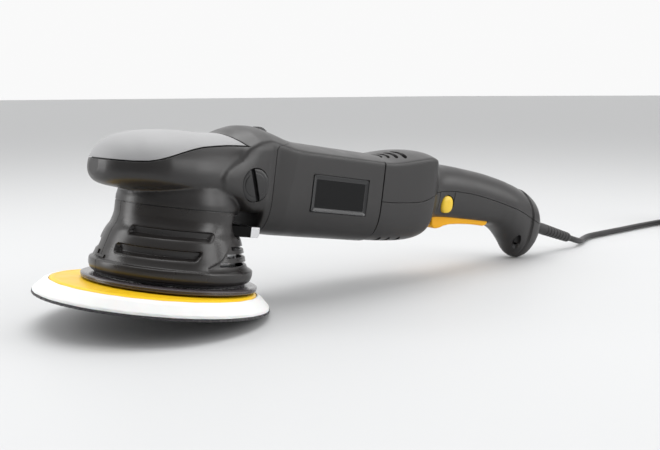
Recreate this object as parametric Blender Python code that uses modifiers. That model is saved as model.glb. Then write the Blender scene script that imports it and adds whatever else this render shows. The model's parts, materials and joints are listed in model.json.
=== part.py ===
"""Dual action polisher: gear head, motor barrel, clam-shell rear handle, orbiting backing plate, mains lead."""
import math

import bmesh
import bpy
from mathutils import Matrix, Vector

MM = 0.001

# ---------------------------------------------------------------- driving dimensions, millimetres
# Tool frame: origin on the spindle axis at the pad face, +Z up the spindle, +X from nose to handle.
ECC = 10.5                  # half of the 21 mm orbit
PLATE_R = 75.0              # 150 mm backing plate
PLATE_SEGS = 36
DISC_R = 56.7
SHROUD_SEAM = 62.0
MOTOR_Z = 81.0              # height of the motor axis
SEAM_1 = 51.0               # head cover to motor housing
SEAM_2 = 145.0              # motor housing to rear shells
GAP = 0.3
WALL = 2.6
PAD_THICK = 3.4
HEAD_WALL = 6.2
GEAR_TEETH = 28
PINION_TEETH = 7
APEX_R = 20.0               # pitch radius of the ring gear
PINION_R = 5.0
POMMEL_LOW_X = 335.0
POMMEL_LOW_Z = 41.82766
PIVOT = (279.0, 75.5)       # trigger pin, x and z
BUTTON = (226.5, 81.5)
DIAL = (54.5, 112.2)
DIAL_R = 8.2
BRUSH_X = 35.3
RELIEF_BASE = (354.432, 0.0, 70.374)
RELIEF_LEN = 53.0
RELIEF_DROP = math.radians(8.5)
CORD_D = 5.5
COIL_OUT = 41.8             # outer radius, inner radius and height of the wound part of the lead
COIL_IN = 24.6
COIL_HIGH = 33.6
COIL_CENTRE = (487.0, -25.0)
PLATE_REAR_X = -ECC + PLATE_R * math.cos(math.pi / PLATE_SEGS)
TILT = math.atan2(POMMEL_LOW_Z, POMMEL_LOW_X - PLATE_REAR_X)

# body sections: x, half width, top, bottom, height of the widest line, top and bottom squareness
HEAD = [
    (-60.4, 7.0, 88.0, 77.0, 82.5, 2.1, 2.1),
    (-58.0, 14.8, 93.4, 73.6, 82.5, 2.1, 2.1),
    (-54.0, 21.8, 98.2, 71.7, 82.5, 2.2, 2.2),
    (-47.0, 28.6, 102.8, 70.6, 82.5, 2.2, 2.3),
    (-38.0, 34.0, 106.0, 70.0, 82.5, 2.3, 2.4),
    (-26.0, 37.4, 108.4, 69.7, 82.0, 2.3, 2.6),
    (-8.0, 38.0, 110.3, 69.6, 81.0, 2.4, 2.8),
    (12.0, 36.9, 111.0, 69.4, 81.0, 2.4, 2.8),
    (21.0, 36.2, 112.2, 69.0, 80.5, 2.4, 2.8),
    (30.0, 35.2, 116.8, 67.0, 80.5, 2.4, 2.8),
    (45.8, 33.8, 119.6, 62.0, 80.5, 2.5, 2.8),
    (47.4, 33.7, 119.4, 50.6, 80.5, 2.6, 3.0),
    (51.0, 33.5, 119.0, 48.4, 80.5, 2.8, 3.2),
    (60.0, 33.2, 117.2, 47.6, 80.5, 3.0, 3.4),
    (69.0, 33.0, 114.6, 47.4, 80.5, 3.2, 3.6),
    (80.0, 33.0, 113.1, 47.4, 80.5, 3.3, 3.6),
    (145.0, 33.0, 112.8, 47.6, 80.5, 3.3, 3.6),
]
REAR = [
    (145.0, 32.0, 111.6, 48.6, 80.5, 3.2, 3.6),
    (160.0, 31.8, 114.0, 48.5, 80.8, 3.0, 3.5),
    (172.0, 31.6, 117.0, 48.9, 81.5, 2.9, 3.4),
    (184.0, 31.2, 119.2, 49.8, 82.5, 2.8, 3.3),
    (195.0, 30.4, 120.0, 51.6, 84.0, 2.8, 3.2),
    (202.5, 29.2, 119.8, 54.4, 86.0, 2.7, 3.0),
    (208.0, 24.8, 117.6, 61.2, 88.2, 2.6, 2.8),
    (215.0, 20.5, 114.5, 68.2, 90.4, 2.4, 2.7),
    (225.0, 19.0, 112.5, 70.3, 91.7, 2.4, 2.8),
    (256.0, 18.5, 111.3, 70.5, 91.4, 2.4, 2.8),
    (276.0, 18.6, 109.9, 70.1, 89.1, 2.4, 2.8),
    (292.0, 19.0, 107.8, 67.8, 86.6, 2.4, 2.5),
    (300.0, 19.2, 106.6, 65.4, 85.0, 2.4, 2.3),
    (307.0, 19.2, 105.2, 62.0, 83.4, 2.4, 2.1),
    (317.0, 18.7, 103.0, 54.8, 81.4, 2.4, 1.8),
    (326.0, 18.0, 100.3, 46.0, 78.6, 2.4, 1.75),
    (331.0, 17.6, 98.5, 42.9, 76.8, 2.4, 1.75),
    (335.0, 17.3, 96.9, POMMEL_LOW_Z, 75.2, 2.4, 1.75),
    (340.0, 16.6, 94.3, 44.4, 73.2, 2.4, 1.8),
    (345.5, 14.7, 89.9, 50.2, 71.4, 2.4, 1.9),
    (350.0, 11.8, 84.0, 57.0, 70.6, 2.3, 2.1),
    (353.6, 6.4, 76.4, 64.4, 70.4, 2.2, 2.2),
]
# lower edge of the palm pad, seen from the side: x, z
PAD_LINE = [(-70, 87.2), (-56, 87.5), (-48, 87.9), (-40, 88.9), (-34, 90.6), (-27, 93.2), (-20, 95.9),
            (-12, 98.8), (-4, 101.1), (7, 103.0), (16, 104.4), (20.5, 106.0), (22.5, 108.5), (23.2, 130)]
# parting line of the rear shells, seen from the side: x, z
PART_LINE = [(130, 82.2), (150, 82.2), (165, 81.2), (186, 82.0), (195, 84.6), (203, 88.0), (218, 90.8), (228, 91.9),
             (240, 92.2), (258, 91.3), (276, 89.1), (295, 86.0), (315, 82.0), (327, 78.4), (338, 74.6), (348, 72.8), (380, 72.4)]
# outer wall of the shroud: radius, z, top to bottom
SHROUD = [(39.8, 62.0), (39.8, 56.0), (41.4, 49.0), (44.0, 44.6), (47.7, 34.0), (50.2, 26.4), (51.9, 25.4),
          (52.6, 23.0), (52.3, 20.0), (50.7, 17.5)]
SHROUD_T = 2.4

for item in list(bpy.data.objects):
    bpy.data.objects.remove(item, do_unlink=True)

scene = bpy.context.scene
scene.unit_settings.system = "METRIC"
tools_col = bpy.data.collections.new("cutters")
scene.collection.children.link(tools_col)
parts_col = bpy.data.collections.new("dual_action_polisher")
scene.collection.children.link(parts_col)
rig = bpy.data.objects.new("rest_pose", None)
scene.collection.objects.link(rig)

COLOURS = {
    "body_plastic": (0.075, 0.076, 0.080, 1.0, 0.45),
    "shroud_plastic": (0.060, 0.060, 0.063, 1.0, 0.38),
    "pad_rubber": (0.62, 0.62, 0.63, 1.0, 0.75),
    "black_plastic": (0.020, 0.020, 0.022, 1.0, 0.40),
    "gloss_black": (0.012, 0.012, 0.013, 1.0, 0.12),
    "yellow_plastic": (1.0, 0.58, 0.03, 1.0, 0.35),
    "orange_plastic": (1.0, 0.42, 0.01, 1.0, 0.40),
    "foam_white": (0.88, 0.88, 0.86, 1.0, 0.85),
    "hook_fabric": (0.04, 0.035, 0.04, 1.0, 0.95),
    "disc_enamel": (0.11, 0.10, 0.115, 1.0, 0.35),
    "steel": (0.55, 0.55, 0.56, 1.0, 0.30),
    "aluminium": (0.72, 0.72, 0.73, 1.0, 0.35),
    "copper": (0.72, 0.33, 0.16, 1.0, 0.35),
    "carbon": (0.03, 0.03, 0.032, 1.0, 0.60),
    "brass": (0.75, 0.55, 0.22, 1.0, 0.30),
    "board_green": (0.03, 0.16, 0.08, 1.0, 0.50),
    "cord_rubber": (0.016, 0.016, 0.017, 1.0, 0.55),
}
METALS = {"steel", "aluminium", "copper", "brass"}


def material(slot):
    """One Principled material per slot."""
    found = bpy.data.materials.get(slot)
    if found:
        return found
    red, green, blue, alpha, rough = COLOURS[slot]
    made = bpy.data.materials.new(slot)
    made.use_nodes = True
    shader = made.node_tree.nodes["Principled BSDF"]
    shader.inputs["Base Color"].default_value = (red, green, blue, alpha)
    shader.inputs["Roughness"].default_value = rough
    shader.inputs["Metallic"].default_value = 1.0 if slot in METALS else 0.0
    made.diffuse_color = (red, green, blue, alpha)
    return made


def axis_empty(name, spot):
    """Empty on a joint's axis: the pieces that turn or slide there hang from it."""
    empty = bpy.data.objects.new(name, None)
    scene.collection.objects.link(empty)
    empty.parent = rig
    empty.location = Vector(spot) * MM
    return empty


def hang(obj, empty):
    """Parents a finished piece to a joint's empty without moving it."""
    obj.parent = empty
    obj.matrix_parent_inverse = Matrix.Translation(-empty.location)


def put(name, mesh, slot, cutter=False, parent=True):
    """Links a mesh as a named part, or as a hidden cutter."""
    obj = bpy.data.objects.new(name, mesh)
    if cutter:
        tools_col.objects.link(obj)
        obj.hide_render = True
        obj.display_type = "WIRE"
    else:
        parts_col.objects.link(obj)
        mesh.materials.append(material(slot))
    if parent:
        obj.parent = rig
    return obj


def mesh_from(name, points, faces):
    """Mesh in metres from millimetre points."""
    mesh = bpy.data.meshes.new(name)
    mesh.from_pydata([(x * MM, y * MM, z * MM) for x, y, z in points], [], faces)
    work = bmesh.new()
    work.from_mesh(mesh)
    bmesh.ops.recalc_face_normals(work, faces=work.faces)
    work.to_mesh(mesh)
    work.free()
    return mesh


def smooth(obj, angle=35):
    """Smooth shading, with edges sharper than the angle left crisp."""
    for face in obj.data.polygons:
        face.use_smooth = True
    obj.data.set_sharp_from_angle(angle=math.radians(angle))
    return obj


def section(station, inset, count):
    """One closed ring of a body section, as y and z pairs."""
    _x, half, top, bottom, middle, square_top, square_bottom = station
    ring = []
    for step in range(count):
        turn = 2 * math.pi * step / count
        across, up = math.cos(turn), math.sin(turn)
        power = square_top if up >= 0 else square_bottom
        reach = (top - inset - middle) if up >= 0 else (middle - bottom - inset)
        y = (half - inset) * math.copysign(abs(across) ** (2 / power), across)
        z = middle + reach * math.copysign(abs(up) ** (2 / power), up)
        ring.append((y, z))
    return ring


def loft(name, stations, slot="", inset=0.0, cutter=False, count=20):
    """Closed skin over body sections, optionally set in by a wall's thickness."""
    points, faces = [], []
    for station in stations:
        points += [(station[0], y, z) for y, z in section(station, inset, count)]
    for row in range(len(stations) - 1):
        for step in range(count):
            a = row * count + step
            b = row * count + (step + 1) % count
            faces.append((a, b, b + count, a + count))
    faces.append(tuple(range(count)))
    last = (len(stations) - 1) * count
    faces.append(tuple(range(last, last + count)))
    return put(name, mesh_from(name, points, faces), slot, cutter)


def at_x(stations, x):
    """Section interpolated at x."""
    for low, high in zip(stations, stations[1:]):
        if low[0] <= x <= high[0]:
            share = (x - low[0]) / (high[0] - low[0])
            return tuple(a + (b - a) * share for a, b in zip(low, high))
    edge = stations[0] if x < stations[0][0] else stations[-1]
    return (x,) + tuple(edge[1:])


def between(stations, low, high):
    """Stations from low to high, with both ends interpolated."""
    inner = [s for s in stations if low + 0.6 < s[0] < high - 0.6]
    return [at_x(stations, low)] + inner + [at_x(stations, high)]


def box(name, low, high, slot="", cutter=False):
    """Axis-aligned block between two corners."""
    low, high = Vector(low) * MM, Vector(high) * MM
    mesh = bpy.data.meshes.new(name)
    work = bmesh.new()
    size = Matrix.Diagonal((high.x - low.x, high.y - low.y, high.z - low.z, 1))
    bmesh.ops.create_cube(work, size=1, matrix=Matrix.Translation((low + high) / 2) @ size)
    work.to_mesh(mesh)
    work.free()
    return put(name, mesh, slot, cutter)


def turned(name, profile, slot="", centre=(0, 0, 0), along="z", steps=36, cutter=False, start=0.0):
    """Shape turned about an axis: closed profile of radius and height pairs, swept by a Screw modifier.

    A profile that touches the axis is left open there.
    """
    mesh = bpy.data.meshes.new(name)
    on_axis = profile[0][0] == 0 and profile[-1][0] == 0
    count = len(profile)
    edges = [(i, i + 1) for i in range(count - 1)]
    if not on_axis:
        edges.append((count - 1, 0))
    mesh.from_pydata([(r * MM, 0, z * MM) for r, z in profile], edges, [])
    obj = put(name, mesh, slot, cutter)
    screw = obj.modifiers.new("turn", "SCREW")
    screw.axis = "Z"
    screw.angle = 2 * math.pi
    screw.steps = steps
    screw.render_steps = steps
    screw.use_merge_vertices = True
    screw.merge_threshold = 0.000005
    screw.use_smooth_shade = False
    obj.location = Vector(centre) * MM
    if along == "x":
        obj.rotation_euler = (0, math.pi / 2, 0)
    elif along == "y":
        obj.rotation_euler = (-math.pi / 2, 0, 0)
    else:
        obj.rotation_euler = (0, 0, start)
    return obj


def rod(name, low, high, radius, slot="", centre=(0, 0, 0), along="z", steps=24, cutter=False):
    """Plain cylinder between two heights on an axis."""
    mesh = bpy.data.meshes.new(name)
    work = bmesh.new()
    middle = Matrix.Translation((0, 0, (low + high) / 2 * MM))
    bmesh.ops.create_cone(work, cap_ends=True, segments=steps, radius1=radius * MM, radius2=radius * MM,
                          depth=(high - low) * MM, matrix=middle)
    work.to_mesh(mesh)
    work.free()
    obj = put(name, mesh, slot, cutter)
    obj.location = Vector(centre) * MM
    if along == "x":
        obj.rotation_euler = (0, math.pi / 2, 0)
    elif along == "y":
        obj.rotation_euler = (-math.pi / 2, 0, 0)
    return obj


def ring(name, low, high, inner, outer, slot="", centre=(0, 0, 0), along="z", steps=40, cutter=False, chamfer=0.0):
    """Washer shape, with an optional outer chamfer."""
    c = chamfer
    if c:
        profile = [(outer - c, high), (outer, high - c), (outer, low + c), (outer - c, low), (inner, low), (inner, high)]
    else:
        profile = [(outer, high), (outer, low), (inner, low), (inner, high)]
    return turned(name, profile, slot, centre, along, steps, cutter)


def flat(name, outline, depth, slot, cutter, matrix):
    """Flat outline: a filled 2D curve with thickness, welded into a mesh and placed by a matrix."""
    curve = bpy.data.curves.new(name, "CURVE")
    curve.dimensions = "2D"
    curve.fill_mode = "BOTH"
    curve.extrude = depth / 2 * MM
    spline = curve.splines.new("POLY")
    spline.points.add(len(outline) - 1)
    for point, (u, v) in zip(spline.points, outline):
        point.co = (u * MM, v * MM, 0, 1)
    spline.use_cyclic_u = True
    drawn = bpy.data.objects.new(name + "_outline", curve)
    scene.collection.objects.link(drawn)
    bpy.context.view_layer.update()
    mesh = bpy.data.meshes.new_from_object(drawn.evaluated_get(bpy.context.evaluated_depsgraph_get()))
    bpy.data.objects.remove(drawn, do_unlink=True)
    work = bmesh.new()
    work.from_mesh(mesh)
    bmesh.ops.remove_doubles(work, verts=work.verts, dist=0.000002)
    bmesh.ops.recalc_face_normals(work, faces=work.faces)
    work.to_mesh(mesh)
    work.free()
    mesh.materials.clear()
    mesh.transform(matrix)
    mesh.name = name
    return put(name, mesh, slot, cutter)


def plate(name, outline, low, high, slot="", cutter=False):
    """Side outline of x and z pairs, pulled out along y between two planes."""
    stand = Matrix.Translation((0, (low + high) / 2 * MM, 0)) @ Matrix.Rotation(math.pi / 2, 4, "X")
    return flat(name, outline, high - low, slot, cutter, stand)


def sector(name, inner, outer, low, high, start, end, steps, slot="", cutter=True):
    """Part of a ring about the spindle axis, angles in degrees."""
    turns = [math.radians(start + (end - start) * step / steps) for step in range(steps + 1)]
    outline = [(outer * math.cos(turn), outer * math.sin(turn)) for turn in turns]
    outline += [(inner * math.cos(turn), inner * math.sin(turn)) for turn in reversed(turns)]
    return flat(name, outline, high - low, slot, cutter, Matrix.Translation((0, 0, (low + high) / 2 * MM)))


def combine(obj, other, how):
    """Adds an exact Boolean modifier."""
    mod = obj.modifiers.new(how.lower() + "_" + other.name, "BOOLEAN")
    mod.operation = how
    mod.solver = "EXACT"
    mod.object = other
    return obj


def combine_all(obj, others, how):
    """One exact Boolean with several solids at once, as a collection."""
    group = bpy.data.collections.new(obj.name + "_" + how.lower())
    tools_col.children.link(group)
    for other in others:
        group.objects.link(other)
        tools_col.objects.unlink(other)
    mod = obj.modifiers.new(group.name, "BOOLEAN")
    mod.operation = how
    mod.solver = "EXACT"
    mod.operand_type = "COLLECTION"
    mod.collection = group
    return obj


def cut(obj, *others):
    if len(others) == 1:
        return combine(obj, others[0], "DIFFERENCE")
    return combine_all(obj, others, "DIFFERENCE")


def join(obj, *others):
    for other in others:
        combine(obj, other, "UNION")
    return obj


def bevel(obj, width, angle=30):
    """Small bevel on the sharp edges."""
    mod = obj.modifiers.new("edge", "BEVEL")
    mod.width = width * MM
    mod.segments = 1
    mod.limit_method = "ANGLE"
    mod.angle_limit = math.radians(angle)
    return obj


def tube(name, route, diameter, slot, sides=2, parent=True):
    """Round tube on a poly curve through the route's points, in millimetres."""
    curve = bpy.data.curves.new(name, "CURVE")
    curve.dimensions = "3D"
    curve.bevel_depth = diameter / 2 * MM
    curve.bevel_resolution = sides
    curve.use_fill_caps = True
    spline = curve.splines.new("POLY")
    spline.points.add(len(route) - 1)
    for point, (x, y, z) in zip(spline.points, route):
        point.co = (x * MM, y * MM, z * MM, 1)
    curve.materials.append(material(slot))
    obj = bpy.data.objects.new(name, curve)
    parts_col.objects.link(obj)
    if parent:
        obj.parent = rig
    return obj


def smooth_route(points, spacing):
    """Points at even spacing on a smooth curve through the route's own points."""
    pts = [Vector(p) for p in points]
    ends = [pts[0] * 2 - pts[1]] + pts + [pts[-1] * 2 - pts[-2]]
    fine = []
    for i in range(1, len(ends) - 2):
        p0, p1, p2, p3 = ends[i - 1], ends[i], ends[i + 1], ends[i + 2]
        t1 = math.sqrt((p1 - p0).length)
        t2 = t1 + math.sqrt((p2 - p1).length)
        t3 = t2 + math.sqrt((p3 - p2).length)
        for step in range(24):
            t = t1 + (t2 - t1) * step / 24
            a1 = p0 * ((t1 - t) / t1) + p1 * (t / t1)
            a2 = p1 * ((t2 - t) / (t2 - t1)) + p2 * ((t - t1) / (t2 - t1))
            a3 = p2 * ((t3 - t) / (t3 - t2)) + p3 * ((t - t2) / (t3 - t2))
            b1 = a1 * ((t2 - t) / t2) + a2 * (t / t2)
            b2 = a2 * ((t3 - t) / (t3 - t1)) + a3 * ((t - t1) / (t3 - t1))
            fine.append(b1 * ((t2 - t) / (t2 - t1)) + b2 * ((t - t1) / (t2 - t1)))
    fine.append(pts[-1])
    lengths = [0.0]
    for low, high in zip(fine, fine[1:]):
        lengths.append(lengths[-1] + (high - low).length)
    count = max(2, round(lengths[-1] / spacing))
    out = []
    place = 0
    for step in range(count + 1):
        want = lengths[-1] * step / count
        while place < len(lengths) - 2 and lengths[place + 1] < want:
            place += 1
        span = max(lengths[place + 1] - lengths[place], 1e-9)
        out.append(tuple(fine[place].lerp(fine[place + 1], (want - lengths[place]) / span)))
    return out


# ---------------------------------------------------------------- backing plate, about the eccentric axis
OFF = (-ECC, 0, 0)
HALF_STEP = math.pi / PLATE_SEGS
hook_layer = turned("hook_layer", [(PLATE_R, 1.5), (PLATE_R, 0.0), (10.0, 0.0), (10.0, 1.5)], "hook_fabric", OFF,
                    steps=PLATE_SEGS, start=HALF_STEP)
plate_foam = turned("plate_foam", [(65.8, 8.0), (65.8, 10.2), (66.6, 10.2), (69.4, 8.4), (74.8, 3.2), (74.8, 1.8),
                                   (10.0, 1.8), (10.0, 8.0)], "foam_white", OFF, steps=PLATE_SEGS, start=HALF_STEP)
plate_carrier = turned("plate_carrier", [(15.0, 11.5), (40.0, 11.2), (63.0, 10.6), (65.4, 10.2), (65.4, 8.3),
                                         (4.5, 8.3), (4.5, 11.5)], "yellow_plastic", OFF, steps=36)
plate_bolt = turned("plate_bolt", [(0, 26.0), (3.9, 25.6), (3.9, 7.9), (6.6, 7.9), (6.6, 4.2), (3.0, 3.8), (3.0, 6.0),
                                   (0, 6.0)], "steel", OFF, steps=16)
plate_spindle = turned("plate_spindle", [(0, 30.4), (5.2, 30.4), (5.7, 29.8), (5.7, 16.6), (9.6, 16.6), (9.6, 11.8),
                                         (4.3, 11.8), (4.3, 27.0), (0, 27.0)], "steel", OFF, steps=20)

# ---------------------------------------------------------------- eccentric drive, about the spindle axis
balance_disc = turned("balance_disc", [(0, 14.6), (44.0, 14.6), (55.6, 15.3), (DISC_R, 14.2), (56.3, 12.4), (55.2, 12.0),
                                       (0, 12.0)], "disc_enamel", steps=40)
cut(balance_disc, rod("disc_bore", 8, 20, 12.6, centre=OFF, steps=20, cutter=True))

eccentric_hub = rod("eccentric_hub", 15.6, 38.2, 17.4, "steel", OFF, steps=24)
join(eccentric_hub, rod("hub_flange", 38.0, 41.0, 22.0, steps=24, cutter=True),
     rod("hub_neck", 37.0, 46.2, 11.5, steps=20, cutter=True))
cut(eccentric_hub, rod("hub_bearing_bore", 10, 31.6, 14.3, centre=OFF, steps=24, cutter=True),
    rod("hub_spindle_bore", 39.0, 50.0, 6.3, steps=20, cutter=True))
counterweight = sector("counterweight", 13.5, 41.0, 25.0, 37.7, -72, 72, 10, "steel", cutter=False)
plate_bearing = ring("plate_bearing", 17.0, 31.2, 6.0, 14.0, "steel", OFF, steps=20, chamfer=0.5)
spindle = turned("spindle", [(0, 97.0), (3.7, 96.6), (3.7, 90.0), (5.0, 90.0), (5.0, 80.5), (7.2, 79.0), (7.2, 48.2),
                             (6.0, 48.2), (6.0, 39.4), (0, 39.4)], "steel", steps=18)
lower_bearing = ring("lower_bearing", 50.5, 61.4, 7.5, 17.5, "steel", steps=24, chamfer=0.5)
upper_bearing = ring("upper_bearing", 91.0, 96.6, 4.0, 9.0, "steel", steps=18, chamfer=0.5)


def ring_gear_mesh(name):
    """Crown gear: teeth face up on a shallow cone whose apex is on the motor axis."""
    per_tooth = 4
    count = GEAR_TEETH * per_tooth
    lift = [-1.4, 1.0, 1.0, -1.4]
    spread = [-0.30, -0.13, 0.13, 0.30]
    low, out_r, in_r, bore = 66.0, 21.6, 14.5, 7.5
    points, faces = [], []
    for tooth in range(GEAR_TEETH):
        for corner in range(per_tooth):
            turn = 2 * math.pi * (tooth + 0.5 + spread[corner]) / GEAR_TEETH
            co, si = math.cos(turn), math.sin(turn)
            top_out = MOTOR_Z + (-PINION_R + lift[corner]) * out_r / APEX_R
            top_in = MOTOR_Z + (-PINION_R + lift[corner]) * in_r / APEX_R
            for radius, z in ((bore, low), (out_r, low), (out_r, top_out), (in_r, top_in), (bore, 75.0)):
                points.append((radius * co, radius * si, z))
    rows = 5
    for step in range(count):
        a = step * rows
        b = ((step + 1) % count) * rows
        for row in range(rows):
            nxt = (row + 1) % rows
            faces.append((a + row, a + nxt, b + nxt, b + row))
    return mesh_from(name, points, faces)


def pinion_mesh(name):
    """Small bevel pinion with its journal, along the motor axis."""
    per_tooth = 4
    count = PINION_TEETH * per_tooth
    lift = [-1.4, 1.0, 1.0, -1.4]
    spread = [-0.30, -0.11, 0.11, 0.30]
    stations = [(14.6, None), (20.3, None), (20.3, 3.0), (21.2, 3.7), (28.9, 3.7)]
    points, faces = [], []
    for x, plain in stations:
        for tooth in range(PINION_TEETH):
            for corner in range(per_tooth):
                turn = 2 * math.pi * (tooth + spread[corner]) / PINION_TEETH
                radius = plain if plain else (PINION_R + lift[corner]) * x / APEX_R
                points.append((x, radius * math.sin(turn), MOTOR_Z - radius * math.cos(turn)))
    for row in range(len(stations) - 1):
        for step in range(count):
            a = row * count + step
            b = row * count + (step + 1) % count
            faces.append((a, b, b + count, a + count))
    faces.append(tuple(range(count)))
    last = (len(stations) - 1) * count
    faces.append(tuple(range(last, last + count)))
    return mesh_from(name, points, faces)


ring_gear = put("ring_gear", ring_gear_mesh("ring_gear"), "steel")
pinion = put("pinion", pinion_mesh("pinion"), "steel")

# ---------------------------------------------------------------- gear case
bearing_plate = turned("bearing_plate", [(36.6, 62.9), (36.6, 50.0), (17.8, 50.0), (17.8, 61.8), (11.0, 61.8),
                                         (11.0, 62.9)], "aluminium", steps=28)
join(bearing_plate, plate("plate_lobe", [(24.4, 46.6), (45.6, 46.6), (47.0, 48.2), (47.0, 53.4), (24.4, 53.4)],
                          -27.5, 27.5, cutter=True))
gear_case = turned("gear_case", [(0, 100.2), (17.0, 100.2), (24.4, 95.0), (27.6, 89.0), (28.2, 84.0), (28.2, 66.6),
                                 (36.4, 66.6), (36.4, 63.2), (25.2, 63.2), (25.2, 87.0), (22.4, 91.8), (15.5, 97.0),
                                 (13.0, 97.0), (13.0, 90.6), (9.3, 90.6), (9.3, 97.0), (0, 97.0)], "aluminium", steps=28)
AXIS = (0, 0, MOTOR_Z)
join(gear_case, rod("case_boss", 22.4, 29.4, 13.4, centre=AXIS, along="x", steps=20, cutter=True))
cut(gear_case, rod("case_bore", 22.7, 32.0, 10.8, centre=AXIS, along="x", steps=20, cutter=True),
    rod("case_lip", 18.0, 23.5, 8.6, centre=AXIS, along="x", steps=16, cutter=True))
# ---------------------------------------------------------------- motor
front_bearing = ring("front_bearing", 22.9, 28.9, 4.0, 10.5, "steel", AXIS, "x", 18, chamfer=0.5)
motor_shaft = turned("motor_shaft", [(0, 137.0), (4.0, 136.6), (4.0, 126.4), (5.0, 126.4), (5.0, 42.0), (4.0, 42.0),
                                     (4.0, 29.2), (0, 29.2)], "steel", AXIS, "x", 16)
commutator = turned("commutator", [(10.6, 41.4), (11.0, 41.0), (11.0, 31.6), (9.6, 31.0), (9.6, 30.0), (4.3, 30.0),
                                   (4.3, 41.4)], "copper", AXIS, "x", 24)
armature_core = turned("armature_core", [(17.6, 104.0), (17.6, 64.0), (6.5, 64.0), (6.5, 104.0)], "steel", AXIS, "x", 28)
armature_windings = turned("armature_windings", [(10.0, 111.8), (15.4, 109.6), (17.0, 104.3), (6.2, 104.3), (6.2, 63.7),
                                                 (17.2, 63.7), (17.2, 58.0), (15.0, 50.0), (11.0, 43.6), (5.4, 43.6),
                                                 (5.4, 111.8)], "copper", AXIS, "x", 20)


fan = turned("fan", [(5.3, 122.4), (9.5, 122.4), (11.5, 115.2), (26.6, 114.9), (26.6, 113.4), (5.3, 113.4)],
             "black_plastic", AXIS, "x", 27)
BLADES = 9
for index in range(BLADES):
    blade = box("fan_blade_%d" % index, (-0.7, 9.6, 114.4), (0.7, 26.2, 120.6), cutter=True)
    blade.data.transform(Matrix.Rotation(2 * math.pi * index / BLADES, 4, "Z"))
    blade.location = Vector(AXIS) * MM
    blade.rotation_euler = (0, math.pi / 2, 0)
    join(fan, blade)
rear_bearing = ring("rear_bearing", 127.0, 133.0, 4.3, 9.5, "steel", AXIS, "x", 18, chamfer=0.5)
bearing_bracket = turned("bearing_bracket", [(28.8, 132.0), (28.8, 128.0), (13.0, 128.0), (13.0, 126.6), (9.8, 126.6),
                                             (9.8, 133.4), (13.0, 133.4), (13.0, 132.0)], "black_plastic", AXIS, "x", 20)
for index in range(4):
    turn = math.radians(45 + 90 * index)
    spot = (0, 21.3 * math.cos(turn), MOTOR_Z + 21.3 * math.sin(turn))
    cut(bearing_bracket, rod("bracket_window_%d" % index, 120, 140, 6.6, centre=spot, along="x", steps=10, cutter=True))
field_core = turned("field_core", [(28.8, 104.0), (28.8, 64.0), (18.4, 64.0), (18.4, 104.0)], "steel", AXIS, "x", 28)
field_windings = turned("field_windings", [(24.4, 63.7), (24.0, 59.0), (20.6, 58.6), (18.8, 63.7)][::-1], "copper", AXIS,
                        "x", 20)
join(field_windings, turned("field_rear", [(26.5, 104.3), (25.0, 108.6), (20.6, 109.0), (19.0, 104.3)][::-1], "copper",
                            AXIS, "x", 20, cutter=True))
for side in (-1, 1):
    lo, hi = sorted((side * 19.4, side * 23.6))
    join(field_windings, box("winding_side_%d" % (side + 1), (62.0, lo, MOTOR_Z - 3.2), (106.0, hi, MOTOR_Z + 3.2),
                             cutter=True))
    lo, hi = sorted((side * 15.0, side * 24.0))
    cut(field_core, box("winding_slot_%d" % (side + 1), (60.0, lo, MOTOR_Z - 3.6), (110.0, hi, MOTOR_Z + 3.6),
                        cutter=True))
air_baffle = turned("air_baffle", [(28.8, 124.6), (28.8, 109.6), (27.6, 109.6), (27.2, 116.0), (27.2, 124.6)],
                    "black_plastic", AXIS, "x", 28)

# brushes, one on each side at the commutator
for side, hand in ((-1, "left"), (1, "right")):
    lo, hi = sorted((side * 12.6, side * 27.6))
    holder = box("brush_holder_" + hand, (BRUSH_X - 5.6, lo, MOTOR_Z - 4.4), (BRUSH_X + 5.6, hi, MOTOR_Z + 4.4), "brass")
    lo, hi = sorted((side * 10.0, side * 40.0))
    cut(holder, box("holder_slot_" + hand, (BRUSH_X - 4.1, lo, MOTOR_Z - 2.9), (BRUSH_X + 4.1, hi, MOTOR_Z + 2.9),
                    cutter=True))
    lo, hi = sorted((side * 11.4, side * 21.0))
    box("carbon_brush_" + hand, (BRUSH_X - 3.7, lo, MOTOR_Z - 2.5), (BRUSH_X + 3.7, hi, MOTOR_Z + 2.5), "carbon")
    turns = []
    for step in range(19):
        angle = 2 * math.pi * step / 6
        turns.append((BRUSH_X + 1.7 * math.cos(angle), side * (21.8 + 5.4 * step / 18), MOTOR_Z + 1.7 * math.sin(angle)))
    tube("brush_spring_" + hand, turns, 0.8, "steel", 0)
    cap = turned("brush_cap_" + hand, [(0, 34.6), (9.6, 34.6), (10.6, 33.8), (10.6, 30.4), (8.6, 30.4), (8.6, 28.2),
                                       (0, 28.2)], "black_plastic", (BRUSH_X, 0, MOTOR_Z), "y", 18)
    if side < 0:
        cap.rotation_euler = (math.pi / 2, 0, 0)
    lo, hi = sorted((side * 33.2, side * 36.0))
    cut(cap, box("cap_slot_" + hand, (BRUSH_X - 1.1, lo, MOTOR_Z - 12), (BRUSH_X + 1.1, hi, MOTOR_Z + 12), cutter=True))

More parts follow.
